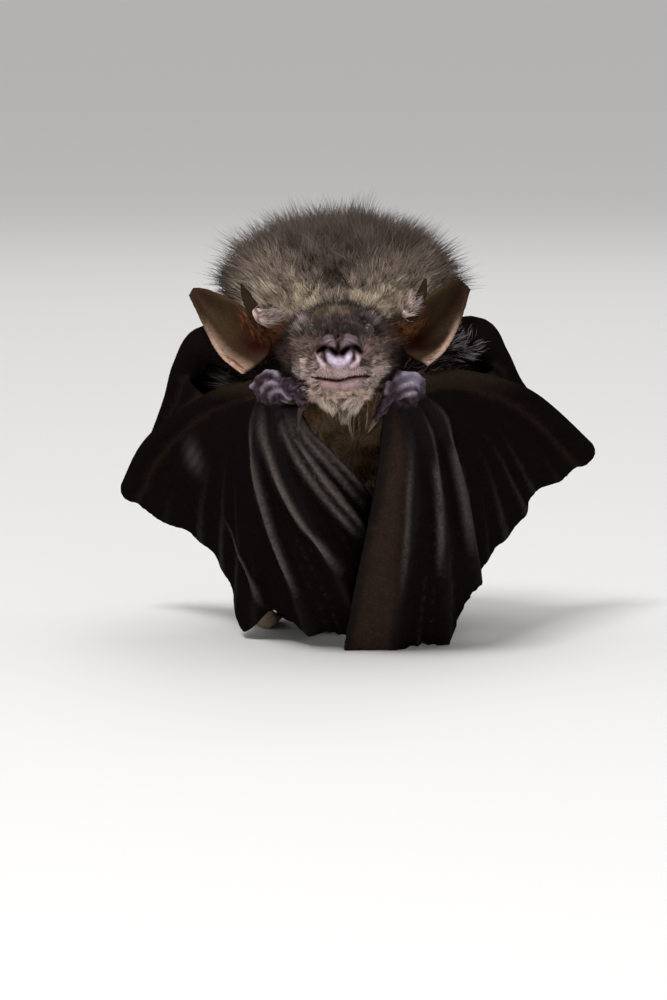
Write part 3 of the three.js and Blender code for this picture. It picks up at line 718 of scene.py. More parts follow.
WRIST_FOLDS = [
    [(-10.6, -22.0, 37.0), (-9.9, -22.3, 37.9), (-9.1, -22.5, 38.2), (-7.9, -24.2, 37.8),
     (-7.3, -25.8, 37.1)],
    [(-9.8, -24.1, 35.2), (-9.6, -23.6, 36.1), (-8.7, -24.2, 36.8), (-7.5, -25.6, 36.5)],
    [(-9.1, -24.6, 34.8), (-8.4, -24.8, 35.7), (-7.4, -25.6, 35.9), (-6.3, -25.6, 35.0),
     (-5.4, -27.3, 34.5)],
    [(-8.1, -23.4, 34.1), (-6.8, -25.1, 34.4), (-5.5, -23.4, 33.7)],
    [(-11.0, -19.7, 35.2), (-11.1, -21.0, 36.2), (-10.6, -22.4, 36.7)],
    [(6.5, -25.3, 36.8), (7.3, -23.9, 37.4), (8.4, -23.9, 37.9), (9.6, -22.5, 37.7), (10.4, -22.6, 36.9)],
    [(7.0, -25.7, 35.8), (8.0, -25.3, 36.5), (9.3, -23.6, 36.6), (10.2, -22.9, 35.9)],
    [(7.3, -25.1, 34.7), (8.6, -24.7, 35.5), (9.8, -23.9, 35.3)],
    [(5.9, -26.1, 35.3), (5.7, -25.7, 36.2), (6.4, -24.1, 37.1)],
]
FOLD_HEIGHT, VALLEY_DEPTH, WRIST_FOLD_HEIGHT, WRIST_FOLD_WIDTH, VALLEY_WIDTH = 0.3, 0.1, 0.34, 0.3, 3.2


def ridge_along(line, width):
    """How strongly each point lies under a line through space, from 0 to 1."""
    line = Curve(line).at(np.linspace(0, 1, 30))
    place = np.argmin([np.linalg.norm(points - spot, axis=1) for spot in line], axis=0) / 29
    fade = np.clip(place * 2.4, 0, 1) * np.clip((1 - place) * 5, 0, 1)
    return np.exp(-(distance_to_line(points, line) / width) ** 2) * fade


wing_folds = sum(ridge_along(line, width) * light for width, light, line in WING_FOLDS)
wing_valleys = np.clip(sum(ridge_along(line, VALLEY_WIDTH * width) for width, _, line in WING_FOLDS), 0, 1)
wing_valleys *= 1 - np.clip(wing_folds, 0, 1)
wrist_folds = np.clip(sum(ridge_along(line, WRIST_FOLD_WIDTH) for line in WRIST_FOLDS), 0, 1)
u_of, v_of = place_of[:, 0], place_of[:, 1]
set_points(skin, points)
normals = normals_of(skin)
wrist = near("wrist", "thumb")
warp = np.sin(points @ np.array((2.9, 1.3, -1.8))) + np.sin(points @ np.array((-1.7, 3.1, 2.2)))
lumps = np.sin(points @ np.array((3.1, -2.2, 1.4))) * np.sin(points @ np.array((-1.2, 2.0, 3.3)) + warp)
points = points + (wrist * lumps * 0.1 + wrist * wrist_folds * WRIST_FOLD_HEIGHT)[:, None] * normals
points = points + (wing_folds * FOLD_HEIGHT - wing_valleys * VALLEY_DEPTH)[:, None] * normals
crease = np.sin(points @ np.array((1.5, -2.6, 4.0)) + 1.8 * warp)
crease = crease * (0.6 + 0.4 * np.sin(points @ np.array((-2.3, 1.1, 1.7))))
points = points + (wrist * crease * 0.07)[:, None] * normals
ear = near("ear_left", "ear_right")
ridge = np.sin(v_of * 2 * math.pi * 11 + 2.5 * u_of) * np.clip((u_of - 0.35) * 3, 0, 1)
ridge *= np.clip(4 * (0.9 - v_of), 0, 1) * np.clip(4 * v_of, 0, 1)
points = points + (ear * spread(ridge, 2) * 0.07)[:, None] * normals
arch = np.sin(math.pi * np.clip(u_of, 0, 1))
pleat = np.sin(u_of * 2 * math.pi * 4.5 + 2.2 * np.sin(v_of * 4 + 1)) * arch
pleat = spread(pleat * np.clip(v_of * 5, 0, 1), 1)
points = points + (near("web_") * pleat * 0.32)[:, None] * normals
folds = np.sin(u_of * 2 * math.pi * 7 + 4 * v_of) * arch * v_of
points = points + (near("arm_web") * spread(folds, 2) * 0.2)[:, None] * normals
points[:, 2] = np.maximum(points[:, 2], 0)
set_points(skin, points)
bpy.ops.object.shade_smooth()
normals = normals_of(skin)
print("shaped skin, lowest point", points[:, 2].min().round(3), "mm")

# %% [markdown]
# ## Colours
# Colours are given as the eye sees them, from 0 to 255, and turned into the linear values that a
# renderer works in. A soft blob in space says where a marking or a patch of painted shade lies, so
# the skin and the fur that grows from it can be coloured by the same marks.


# %% Markings and painted shade
def tone(red, green, blue):
    return (np.array((red, green, blue)) / 255.0) ** 2.2


def blob(where, centre, size):
    return np.exp(-((((where - np.array(centre)) / np.array(size)) ** 2).sum(axis=1)))


def tint(colours, share, colour):
    return colours + (np.asarray(colour) - colours) * np.clip(share, 0, 1)[:, None]


def paint(colours, layers):
    """Paints layers over each other. Each is how much of it there is, and its colour."""
    for share, colour in layers:
        colours = tint(colours, share, colour)
    return colours


FACE_MARKS_AND_SHADE = [  # middle, size and colour of the patches on the head
    ((-1.1, -20.6, 44.4), (2.7, 1.9, 1.6), (112, 93, 77)),
    ((-4.6, -18.4, 43.4), (1.0, 1.4, 1.4), (186, 166, 164)),
    ((3.0, -18.4, 44.2), (1.2, 1.3, 1.2), (164, 146, 144)),
    ((2.4, -20.5, 43.8), (0.6, 2, 1.6), (34, 24, 20)),
    ((-0.3, -24, 43.6), (3.0, 2.0, 0.9), (80, 67, 64)),
    ((6.6, -17, 42.6), (1.3, 3, 1.8), (120, 76, 52)),
    # The next two patches are painted shadow beside the cheeks, between the face and the ears.
    ((6.0, -18, 39.5), (1.4, 4, 1.6), (58, 44, 38)),
    ((-6.4, -17, 40.6), (1.6, 4, 3.0), (40, 31, 26)),
    ((-7.4, -14.5, 43.0), (1.1, 2, 1.4), (110, 68, 46)),
]


def coat_colours_and_shade(where):
    """The colour of the coat's tips at these places, with painted shade and painted light among the
    markings.
    """
    x, y, z = where.T
    wide = np.abs(x)
    band = ramp(z, 50.5, 46.5) * ramp(y, 2, -2) * ramp(wide, 13, 10) * ramp(z, 42.5, 44)
    head = ramp(y, -12.5, -14) * (z > 34.5)
    cheek = ramp(y, -22, -25)
    chin = ramp(z, 37.2, 36.4) * ramp(y, -17, -20)
    chest = ramp(z, 36, 33) * (y > -18) * (y < 8) * ramp(wide, 9, 6)
    body = [
        (ramp(z, 50, 53), tone(80, 69, 64)),
        (ramp(wide, 8, 12) * (z > 38), tone(66, 54, 49)),
        (1.2 * band, tone(150, 134, 120)),
        (0.8 * band * ramp(z, 48, 46), tone(190, 172, 150)),
        (ramp(y, 14, 22), tone(82, 70, 62)),
        (ramp(z, 36, 28) * (y > -14), tone(110, 100, 92)),
        (1.3 * blob(where, (-0.4, -7, 46.4), (2.2, 5, 4.2)), tone(44, 35, 30)),
        # Painted shade on the front of the trunk beside the head, at the height of the ears.
        (ramp(z, 43.5, 42) * (y > -13) * (y < -4) * (z > 36), tone(46, 34, 28)),
        (blob(where, (-8.2, -10, 41.5), (1.8, 4, 2.2)), tone(150, 90, 54)),
        (blob(where, (8.2, -10, 42.0), (1.6, 4, 2.0)), tone(110, 66, 42)),
        (head, tone(92, 74, 66)),
        (head * ramp(z, 41.5, 43), tone(56, 44, 38)),
        # A dark band of painted shade where the top of the head meets the hump.
        (head * blob(where, (-0.3, -15.3, 45), (9, 1.9, 2.0)), tone(36, 27, 23)),
    ]
    face = [(1.5 * blob(where, spot, size), tone(*colour)) for spot, size, colour in FACE_MARKS_AND_SHADE]
    front = [
        (ramp(y, -20, -23) * ramp(z, 42.8, 41.3) * 0.85, tone(126, 105, 98)),
        (cheek * ramp(z, 40.2, 38.7) * 0.8, tone(146, 126, 118)),
        (1.2 * cheek * blob(where, (-3.8, -27, 38.1), (1.4, 3.5, 1.4)), tone(255, 228, 220)),
        (1.2 * cheek * blob(where, (4.2, -27, 38.2), (1.3, 3.5, 1.4)), tone(240, 216, 206)),
        # Painted shade down the outer sides of the face.
        (head * ramp(wide, 4.7, 5.9) * (z < 42) * 0.8, tone(70, 55, 49)),
        (chin, tone(255, 226, 208)),
        # Painted shade on the underside of the chin.
        (chin * ramp(z, 35.6, 34.4) * 0.8, tone(96, 76, 66)),
        # The chest is painted paler than its tan fur: painted light, so that it shows in the deep shade
        # between the wings.
        (chest * (1 - chin), tone(225, 190, 152)),
        (ramp(wide, 9, 11) * ramp(z, 43, 41) * (y < 12) * 0.9, tone(58, 51, 53)),
    ]
    return paint(np.tile(tone(96, 82, 75), (len(where), 1)), body + face + front)


# %% [markdown]
# The skin itself is painted part by part: nearly black on the wings, with painted highlights along
# the ridges where the folds and the finger bones lift it and painted shade in the valleys beside
# them, and brown on the ears with a paler rim. Painting on the points of the mesh needs no picture,
# and the points are close enough together for it.

# %% Paint the wings and ears
BARE_SKIN, WING, RIDGE_HIGHLIGHT, PANEL = tone(52, 42, 37), tone(26, 22, 21), tone(96, 88, 84), tone(54, 43, 38)
furred = near("trunk", "head", "muzzle", "jaw", "thigh")
arms = near("upper_arm", "forearm", "shin", "tail")
wing = near("arm_web", "web_", "flank_web", "shoulder_web", "tail_web", "finger")
# A pale grey patch with faint stripes lies on the right arm web.
pale_patch = blob(points, (-19.3, 6.0, 24.5), (1.3, 4, 2.2))
pale_patch = pale_patch * (0.75 + 0.25 * np.sin(points @ np.array((5.0, 0, -3.0))))
ear = near("ear_", "tragus")
leaf = near("ear_left", "ear_right")
rims = {name: ramp(u_of, start, start + 0.14) * ramp(v_of, 0.8, 0.45)
        for name, start in (("right", 0.82), ("left", 0.9))}
conch = np.exp(-(((u_of - 0.5) / 0.28) ** 2) - ((v_of - 0.18) / 0.24) ** 2)
root = np.exp(-((u_of / 0.26) ** 2) - ((v_of - 0.12) / 0.24) ** 2)
lobe_highlights = np.clip(0.62 + 0.5 * np.sin(points @ np.array((5.5, 1.0, 1.6)) + warp), 0, 1)

colours = np.tile(BARE_SKIN, (len(points), 1))
colours = tint(colours, furred, coat_colours_and_shade(points) * 0.25)
colours = paint(colours, [
    (np.maximum(wing, arms), WING),
    (near("web_3_2_left") * 0.9, PANEL),
    # The next four layers are painted light: highlights on the crests of the pleats and folds, and shade in
    # the valleys beside the folds.
    (near("web_") * np.clip(pleat * 2.0 - 0.9, 0, 1) * 0.6, RIDGE_HIGHLIGHT * 0.4),
    (near("arm_web") * np.clip(folds * 2 - 0.9, 0, 1) * 0.35, RIDGE_HIGHLIGHT * 0.5),
    (wing_valleys * 0.75, WING * 0.3),
    (wing_folds, RIDGE_HIGHLIGHT),
    (pale_patch * 0.7 * near("arm_web"), tone(82, 78, 75)),
    # A painted highlight along the top of each forearm.
    (near("forearm") * ramp(points[:, 2], 33, 36) * 0.6, tone(52, 44, 36)),
    (ear, tone(68, 55, 42)),
    (near("ear_right") * rims["right"], tone(150, 124, 108)),
    (near("ear_left") * rims["left"], tone(150, 124, 108)),
    (near("ear_rim_outer") * ramp(v_of, 0.8, 0.5), tone(178, 148, 130)),
    (ear * ramp(v_of, 0.72, 0.97) * 0.8, tone(56, 40, 34)),
    # The hollow of each ear is dark maroon: a reddish skin tone with painted shade in the hollow.
    (leaf * conch, tone(46, 20, 18)),
    (leaf * root * 1.2, tone(120, 70, 42)),
    # Painted shade over the whole left ear, the side turned away from the key light.
    (near("ear_left") * 0.35, tone(30, 22, 18)),
    (near("tragus"), tone(48, 39, 30)),
    (near("lobe"), tone(60, 44, 40)),
    # Painted highlights streak the folds of each lobe.
    (near("lobe") * lobe_highlights, tone(190, 168, 160)),
])

# %% [markdown]
# The bare skin is lilac on the wrists and the pad of the nose, and pale on the feet. It is painted
# with the same strokes that shaped the face, so the colours stay on the shapes.

# %% Paint the wrists, feet and face
wrist = near("wrist", "thumb", rounds=4)
foot = near("foot")
pad_spots = [(PAD, 0.46), (RIM_LEFT, 0.26), (RIM_RIGHT, 0.24), ([(-0.15, 39.9)], 0.6)]
bare = np.clip(sum(stroke(line, width) for line, width in pad_spots), 0, 1)
mounds = np.clip(stroke(MOUNDS[0], 0.9) + stroke(MOUNDS[1], 0.9), 0, 1)
lips = np.clip(stroke(UPPER_LIP, 0.55) + 0.8 * stroke(LOWER_LIP, 0.62), 0, 1)
dark = np.clip(stroke(NOSTRIL_RIGHT, 0.34) + stroke(NOSTRIL_LEFT, 0.34) + 0.7 * stroke(SLIT_RIGHT, 0.18)
               + 0.7 * stroke(SLIT_LEFT, 0.18) + stroke(GROOVE, 0.2) + 0.5 * stroke(NOTCH, 0.24), 0, 1)
glints = stroke([(-1.05, 40.5), (-0.75, 40.1)], 0.3) + stroke([(1.0, 40.6), (0.95, 40.3)], 0.26)
to_eye = np.min([np.linalg.norm(points - centre, axis=1) for centre in EYES.values()], axis=0)
lids = ramp(to_eye, 1.75, 1.25)
colours = paint(colours, [
    (wrist, tone(42, 32, 38)),
    # Over the wrist's own tone: painted highlights on its raised creases and folds, painted shade in the
    # hollows between them, and a bluish-white painted highlight on the left wrist.
    (wrist * np.clip(crease + 0.4 * lumps, 0, 1) * 0.3, tone(110, 96, 106)),
    (wrist * np.clip(-crease, 0, 1) * 0.7, tone(26, 17, 21)),
    (wrist * wrist_folds * 0.85, tone(150, 134, 148)),
    (wrist * blob(points, (9.2, -23, 37.2), (1.4, 3, 0.8)) * 0.4, tone(156, 154, 176)),
    (foot, tone(158, 138, 118)),
    (mounds * 1.1, tone(126, 106, 110)),
    (lips * 1.1, tone(166, 136, 138)),
    (np.clip(stroke(RIM_RIGHT, 0.36) + stroke(RIM_LEFT, 0.4), 0, 1), tone(160, 136, 136)),
    (bare * 1.3, tone(170, 152, 170)),
    (np.clip(stroke(RIM_RIGHT, 0.3) + stroke(RIM_LEFT, 0.3), 0, 1), tone(184, 158, 160)),
    (glints, tone(208, 192, 208)),
    # Painted shade in the nostrils, the slits beside the pad, the groove between the mounds, the notch
    # above the pad, and along the line of the mouth.
    (dark * 1.4, tone(34, 18, 19)),
    (stroke(MOUTH, 0.16) * 1.4, tone(58, 24, 24)),
    (stroke([(-0.1, 37.0), (-0.1, 36.6)], 0.3) * 0.6, tone(120, 76, 78)),
    (lids, tone(46, 34, 32)),
])

# %% [markdown]
# Gloss and grain are painted in the same way: how rough the skin is, how deep its creases are and
# how wet it is.

# %% Paint the gloss and the grain
bald = np.clip(bare * 1.6 + mounds * 1.2 + lips + dark * 1.5 + stroke(MOUTH, 0.3) + lids, 0, 1)
rough = np.where(wing + arms > 0.4, 0.4, 0.7)
rough = np.where(ear > 0.4, 0.55, rough)
rough = np.where(wrist + foot > 0.4, 0.33, rough)
rough = lerp(rough, 0.34, bald)
relief = np.where(wing + arms > 0.4, 0.8, 0.2)
relief = np.where(wrist + foot > 0.4, 0.5, relief)
relief = lerp(relief, 0.5, bald)
wet = 0.18 * wrist + 0.6 * bare + 0.25 * mounds + 0.15 * lips + 0.08 * near("finger", rounds=2)
wet = np.clip(wet, 0, 1)


def add_colour_attribute(piece, name, values):
    """Stores three numbers at each point, where a material can read them."""
    attribute = piece.data.color_attributes.new(name, "FLOAT_COLOR", "POINT")
    attribute.data.foreach_set("color", np.hstack([values, np.ones((len(values), 1))]).ravel())


add_colour_attribute(skin, "tone", colours)
add_colour_attribute(skin, "finish", np.stack([rough, relief, wet], axis=1))
print("painted", len(points), "points")

# %% [markdown]
# ## Materials
# A material is a little sum: colour times mottling, roughness plus grain. Written as Python it
# reads like one. A Wire is the output of a node, and each sum on a Wire adds one Math node.


# %% Shader maths
class Wire:
    """One output of a shader node. Sums on it add Math nodes."""

    def __init__(self, finish, socket):
        self.finish = finish
        self.socket = socket

    def maths(self, operation, first, second):
        return self.finish.node("Math", {"operation": operation}, {0: first, 1: second})

    def __add__(self, other):
        return self.maths("ADD", self, other)

    def __radd__(self, other):
        return self.maths("ADD", other, self)

    def __sub__(self, other):
        return self.maths("SUBTRACT", self, other)

    def __mul__(self, other):
        return self.maths("MULTIPLY", self, other)


class Finish:
    """A material in the making."""

    def __init__(self, name):
        self.material = bpy.data.materials.new(name)
        self.material.use_nodes = True
        self.nodes = self.material.node_tree.nodes
        self.shader = self.nodes["Principled BSDF"]

    def node(self, kind, settings=None, inputs=None, output=0):
        """Adds a node: its settings first, then the values or wires of its inputs."""
        node = self.nodes.new("ShaderNode" + kind)
        for setting, value in (settings or {}).items():
            setattr(node, setting, value)
        self.fill(node, inputs or {})
        return Wire(self, node.outputs[output])

    def fill(self, node, inputs):
        for socket, value in inputs.items():
            if isinstance(value, Wire):
                self.material.node_tree.links.new(value.socket, node.inputs[socket])
            else:
                node.inputs[socket].default_value = value

    def noise(self, place, scale, detail, **more):
        inputs = {"Vector": place, "Scale": scale, "Detail": detail, **more}
        return self.node("TexNoise", inputs=inputs)

    def blend(self, share, first, second, way="MIX"):
        """The first colour where the share is 0, and the second, or their product, where it is 1."""
        settings = {"data_type": "RGBA", "blend_type": way}
        return self.node("Mix", settings, {0: share, 6: first, 7: second}, output=2)

    def set(self, **inputs):
        self.fill(self.shader, {name.replace("_", " "): value for name, value in inputs.items()})
        return self.material


def tinted(finish, colour, amount):
    """A colour made lighter or darker by an amount around 1."""
    grey = finish.node("CombineColor", inputs={0: amount, 1: amount, 2: amount})
    return finish.blend(1.0, colour, grey, "MULTIPLY")


# %% [markdown]
# The skin reads its colour from the paint, and its gloss and the depth of its grain from a second
# set of painted numbers. Noise makes it alive: broad mottling in the colour, and a fine net of
# creases, like old gloves, in the bump.

# %% Skin material
def leather(name):
    finish = Finish(name)
    place = finish.node("TexCoord", output="Object")
    painted = finish.node("Attribute", {"attribute_name": "tone"})
    numbers = finish.node("Attribute", {"attribute_name": "finish"})
    split = finish.nodes.new("ShaderNodeSeparateColor")
    finish.fill(split, {0: numbers})
    roughness, grain, wet = (Wire(finish, split.outputs[i]) for i in range(3))
    mottle = finish.noise(place, 420.0, 6.0, Roughness=0.65)
    cells = finish.node("TexVoronoi", {"feature": "DISTANCE_TO_EDGE"}, {"Vector": place, "Scale": 1500.0})
    creases = finish.noise(place, 2600.0, 4.0)
    net = finish.node("Clamp", inputs={0: cells * 4.0, 1: 0.0, 2: 1.0})
    colour = tinted(finish, painted, 0.62 + mottle * 0.5 + net * 0.22)
    height = (net * 0.6 + creases * 0.8 + mottle * 1.2) * grain
    bump = finish.node("Bump", inputs={"Strength": 0.55, "Distance": 0.00016, "Height": height})
    return finish.set(Base_Color=colour, Roughness=roughness + (mottle - 0.5) * 0.25, Normal=bump,
                      Specular_IOR_Level=0.0, Coat_Weight=wet, Coat_Roughness=0.3)


skin.data.materials.clear()
skin.data.materials.append(leather("bat_skin"))
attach(skin, "root")
flesh_nodes = [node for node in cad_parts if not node.startswith("eye_")]
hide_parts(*flesh_nodes)
print("the skin replaces", len(flesh_nodes), "nodes")

# %% [markdown]
# ## Eyes and claws
# The eye is a small dark bead, with a dull grey sheen painted into its colour. A plain sphere is
# enough, since the lid hides its edge, and a clear coat gives it a soft glint.


# %% Eyes
def eye_material():
    finish = Finish("eye_black")
    place = finish.node("TexCoord", output="Object")
    cloud = finish.noise(place, 900.0, 3.0)
    # The grey in the bead's colour is a painted sheen.
    colour = finish.blend(cloud, (*tone(30, 25, 25), 1), (*tone(70, 63, 65), 1))
    return finish.set(Base_Color=colour, Roughness=0.3 + cloud * 0.1, Coat_Weight=0.4,
                      Coat_Roughness=0.16, Specular_IOR_Level=0.1)


shiny = eye_material()
for name, centre in EYES.items():
    start_fresh()
    bpy.ops.mesh.primitive_uv_sphere_add(segments=40, ring_count=24, radius=EYE_RADIUS * MM,
                                         location=centre * MM + SHIFT)
    bpy.ops.object.transform_apply(location=True, rotation=True, scale=True)
    eye = bpy.context.object
    eye.name = f"eyeball_{name}"
    bpy.ops.object.shade_smooth()
    eye.data.materials.append(shiny)
    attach(eye, "root")
    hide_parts(f"eye_{name}")


# %% [markdown]
# A claw is a hooked cone of horn. It is made as the limbs were, from four points with a falling
# radius, but kept apart from the skin. The claws of the thumb and the foot of one side are one piece.


# %% Claws
def horn_material(name, deep, pale):
    finish = Finish(name)
    place = finish.node("TexCoord", output="Object")
    streak = finish.noise(place, 1400.0, 3.0)
    colour = finish.blend(streak, (*deep, 1), (*pale, 1))
    bump = finish.node("Bump", inputs={"Strength": 0.3, "Distance": 0.00005, "Height": streak})
    return finish.set(Base_Color=colour, Roughness=0.3 + streak * 0.15, Specular_IOR_Level=0.2,
                      Normal=bump)


# The right claws take a darker copy of the same horn: painted shade.
horn = {"left": horn_material("claw_horn", tone(46, 34, 28), tone(120, 98, 80)),
        "right": horn_material("shaded_claw_horn", tone(26, 20, 17), tone(62, 50, 42))}
for name, arm in ARMS.items():
    knuckle, tip = np.array(only_places(arm["thumb"][-2:]))
    way = unit(tip - knuckle)
    hooks = [[(*(tip - 0.5 * way), 0.38), (*(tip + 0.2 * way), 0.3),
              (*(tip + way + (0, 0.1, 0)), 0.18), (*(tip + 1.6 * way + (0, 0.5, 0)), 0.04)]]
    for x, y, z in toe_tips[name]:
        hooks.append([(x, y, z - 0.2, 0.26), (x, y + 0.6, z - 0.15, 0.2), (x, y + 1.1, z - 0.45, 0.1),
                      (x, y + 1.3, z - 0.72, 0.03)])
    flesh_before = len(flesh)
    for hook in hooks:
        limb("claw", hook, sides=10, steps=12)
    claws = join(flesh[flesh_before:], f"claws_{name}")
    bpy.ops.object.shade_smooth()
    claws.data.materials.append(horn[name])
    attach(claws, "root")
    print("claws", name, triangles(claws), "triangles")

# %% [markdown]
# ## The coat
# Fur is made as solid tufts, because a finished model can't carry hair curves. Each tuft is a thin
# three-sided spike that starts just under the skin and bends over. Nearby tufts lean together into
# locks, as real wool does, by bending each one towards the tip of the nearest lock.
#
# The coat needs a map of its own, so that its colours can be baked. The body is a tube along y, so
# the root's place on the unwrapped tube, its angle and its distance from the nose, is its place on
# the map, and the tuft itself is a small square there with its length along v.


# %% Tufts
rng = np.random.default_rng(7)
FUR_PATCH = 0.003  # the side of a tuft's square on the map
SUNK = 0.25  # how deep a tuft starts under the skin
FLOOR_GAP = 0.02  # the lowest that a tuft may hang
TURNS = [corner * 2 * math.pi / 3 for corner in range(3)]
MOST_TRIANGLES = 199_000  # in one piece of the coat
coat_pieces = []


def swirl(where, size, seed):
    """A smooth random direction that changes over about `size` millimetres."""
    waves = np.random.default_rng(seed)
    total = np.zeros((len(where), 3))
    for _ in range(6):
        wave = np.sin(where @ waves.normal(0, 2.2 / size, (3, 1)) + waves.uniform(0, 7, 3))
        total += wave * waves.normal(0, 0.5, 3)
    return total


def map_place(roots):
    """The root's place on the unwrapped tube of the body."""
    x, y, z = roots.T
    axis_z = np.interp(y, [-30, -12, 4, 38], [39, 40.5, 40.5, 9.5])
    around = np.arctan2(x, z - axis_z) / (2 * math.pi) + 0.5
    return np.stack([0.02 + 0.95 * around, 0.02 + 0.95 * (y + 34) / 78], axis=1)


def tuft_points(roots, aim, bend, length, thick, root_tone, tip_tone, rings):
    """The points and tones of the tufts. `aim` is where one starts off and `bend` how it curves."""
    count = len(roots)
    aim = unit(aim)
    beside = unit(np.cross(aim, rng.normal(size=(count, 3))))
    over = np.cross(aim, beside)
    girth = (0.75, 1.0, 0.62) if rings > 2 else (0.85, 0.8)  # at each ring, as a share of `thick`
    layers, layer_tones = [], []
    for ring in range(rings + 1):
        s = ring / rings
        centre = roots + length[:, None] * (aim * s + bend * s * s) - SUNK * (1 - s) * aim
        corners = [centre]
        if ring < rings:
            out = thick * girth[ring]
            corners = [centre + out * (math.cos(turn) * beside + math.sin(turn) * over) for turn in TURNS]
        layers += corners
        layer_tones += [lerp(root_tone, tip_tone, s**1.1)] * len(corners)
    verts = np.stack(layers, axis=1)
    verts[:, :, 2] = np.maximum(verts[:, :, 2], FLOOR_GAP)
    return verts, np.stack(layer_tones, axis=1)


def tuft_faces(rings):
    """The faces of one tuft, and the place of their corners on its square of the map."""
    last = 3 * rings
    faces = [(0, 2, 1)]
    spots = [((0, 0), (1, 0), (0.5, 0.1))]
    for ring in range(rings):
        low, high = ring / rings, (ring + 1) / rings
        for corner in range(3):
            a, b = ring * 3 + corner, ring * 3 + (corner + 1) % 3
            left, right = corner / 3, (corner + 1) / 3
            if ring == rings - 1:
                faces.append((a, b, last))
                spots.append(((left, low), (right, low), ((left + right) / 2, high)))
            else:
                faces += [(a, b, b + 3), (a, b + 3, a + 3)]
                spots.append(((left, low), (right, low), (right, high)))
                spots.append(((left, low), (right, high), (left, high)))
    return np.array(faces), np.array(spots).reshape(-1, 2)


# %% [markdown]
# Many thousand tufts are far too many to add one by one with an operator, so the arrays of points
# and faces go straight into one mesh, which takes a moment.


# %% From arrays to a mesh
def tuft_mesh(name, roots, verts, tones, rings):
    count, per_tuft = verts.shape[:2]
    faces, spots = tuft_faces(rings)
    mesh = bpy.data.meshes.new(name)
    mesh.vertices.add(count * per_tuft)
    mesh.vertices.foreach_set("co", (verts.reshape(-1, 3) * MM + SHIFT).ravel())
    corner_of = (faces.ravel()[None] + per_tuft * np.arange(count)[:, None]).ravel()
    mesh.loops.add(len(corner_of))
    mesh.loops.foreach_set("vertex_index", corner_of)
    face_count = len(corner_of) // 3
    mesh.polygons.add(face_count)
    mesh.polygons.foreach_set("loop_start", np.arange(face_count) * 3)
    mesh.polygons.foreach_set("use_smooth", np.ones(face_count, bool))
    mesh.update(calc_edges=True)
    piece = bpy.data.objects.new(name, mesh)
    bpy.context.collection.objects.link(piece)
    patch = mesh.uv_layers.new(name="OFBake")
    patch.data.foreach_set("uv", (map_place(roots)[:, None] + FUR_PATCH * spots[None]).ravel())
    add_colour_attribute(piece, "tone", tones.reshape(-1, 3))
    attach(piece, "root")
    coat_pieces.append(piece)
    print(f"{name}: {count} tufts, {face_count} triangles")


# %% [markdown]
# Roots are scattered over the triangles of the skin, more where the coat is denser. The skin's own
# direction there tells which way is out.

# %% Scatter the roots
corners = read(skin.data.polygons, "vertices", int)
a, b, c = (points[corners[:, i]] for i in range(3))
areas = np.linalg.norm(np.cross(b - a, c - a), axis=1) / 2


def scatter(count, density):
    """`count` roots, placed in proportion to the density at each point of the skin."""
    weight = np.clip(density[corners].mean(axis=1), 0, None) * areas
    chosen = rng.choice(len(corners), count, p=weight / weight.sum())
    share = np.sort(rng.random((count, 2)), axis=1)
    mix = np.stack([share[:, 0], share[:, 1] - share[:, 0], 1 - share[:, 1]], axis=1)
    roots = (points[corners[chosen]] * mix[:, :, None]).sum(axis=1)
    out = unit((normals[corners[chosen]] * mix[:, :, None]).sum(axis=1))
    return roots, out


def leaders_of(roots, every):
    """The nearest lock, which is one tuft in `every`, for each tuft."""
    leaders = np.arange(0, len(roots), every)
    tree = KDTree(len(leaders))
    for index in leaders:
        tree.insert(roots[index], index)
    tree.balance()
    return np.array([tree.find(root)[1] for root in roots])


# %% [markdown]
# A long tuft can poke through a wing or an ear. To see where, space is cut into small cells, those
# near a thin part are marked, and a tuft that would enter one of them is cut short of it.

# %% Keep the tufts out of the ears and wings
THIN_PARTS = ("ear_", "tragus", "lobe", "upper_arm", "arm_web", "web_", "finger", "forearm", "wrist",
              "shoulder_web", "flank_web")
CELL = 0.45
thin = [index for index, part in enumerate(part_names) if part.startswith(THIN_PARTS)]
thin_marks = mark_point[np.isin(mark_part, thin)]
grid_low = thin_marks.min(axis=0) - 4 * CELL
cells = ((thin_marks - grid_low) / CELL).astype(int)
blocked = np.zeros(cells.max(axis=0) + 5, bool)
blocked[tuple(cells.T)] = True
for axis in range(3):
    blocked |= np.roll(blocked, 1, axis) | np.roll(blocked, -1, axis)
print("cells that belong to ears and wings:", int(blocked.sum()))


def stop_short(roots, aim, bend, length):
    """Shortens the tufts that would poke through an ear or a wing."""
    keep = np.ones(len(roots))
    for s in np.linspace(1, 0.1, 10):
        where = roots + length[:, None] * (aim * s + bend * s * s)
        cell = np.clip(((where - grid_low) / CELL).astype(int), 0, np.array(blocked.shape) - 1)
        keep = np.where(blocked[tuple(cell.T)], max(s - 0.15, 0.1), keep)
    return length * keep


# %% [markdown]
# A patch of coat is grown in one call. It says where the hair is dense, how many tufts there are,
# and how long and thick they are, in millimetres. `lean` goes from 0, upright, to 1, flat along
# `lay`, and `stand` lifts the ends. `ruffle` bends the tufts in waves `wander` millimetres wide, and
# `stray` turns each one at random. `lock` says how many tufts share a lock and how much they gather.
# `dark` is the tone of the root as a share of the tip's, and `grizzle` how much the tips differ.
# `avoid` keeps the tufts out of the ears and wings. Length, lean and lay can each be one value for
# all tufts, or a function of the roots.


# %% Grow a patch
def given(value, roots):
    return value(roots) if callable(value) else value


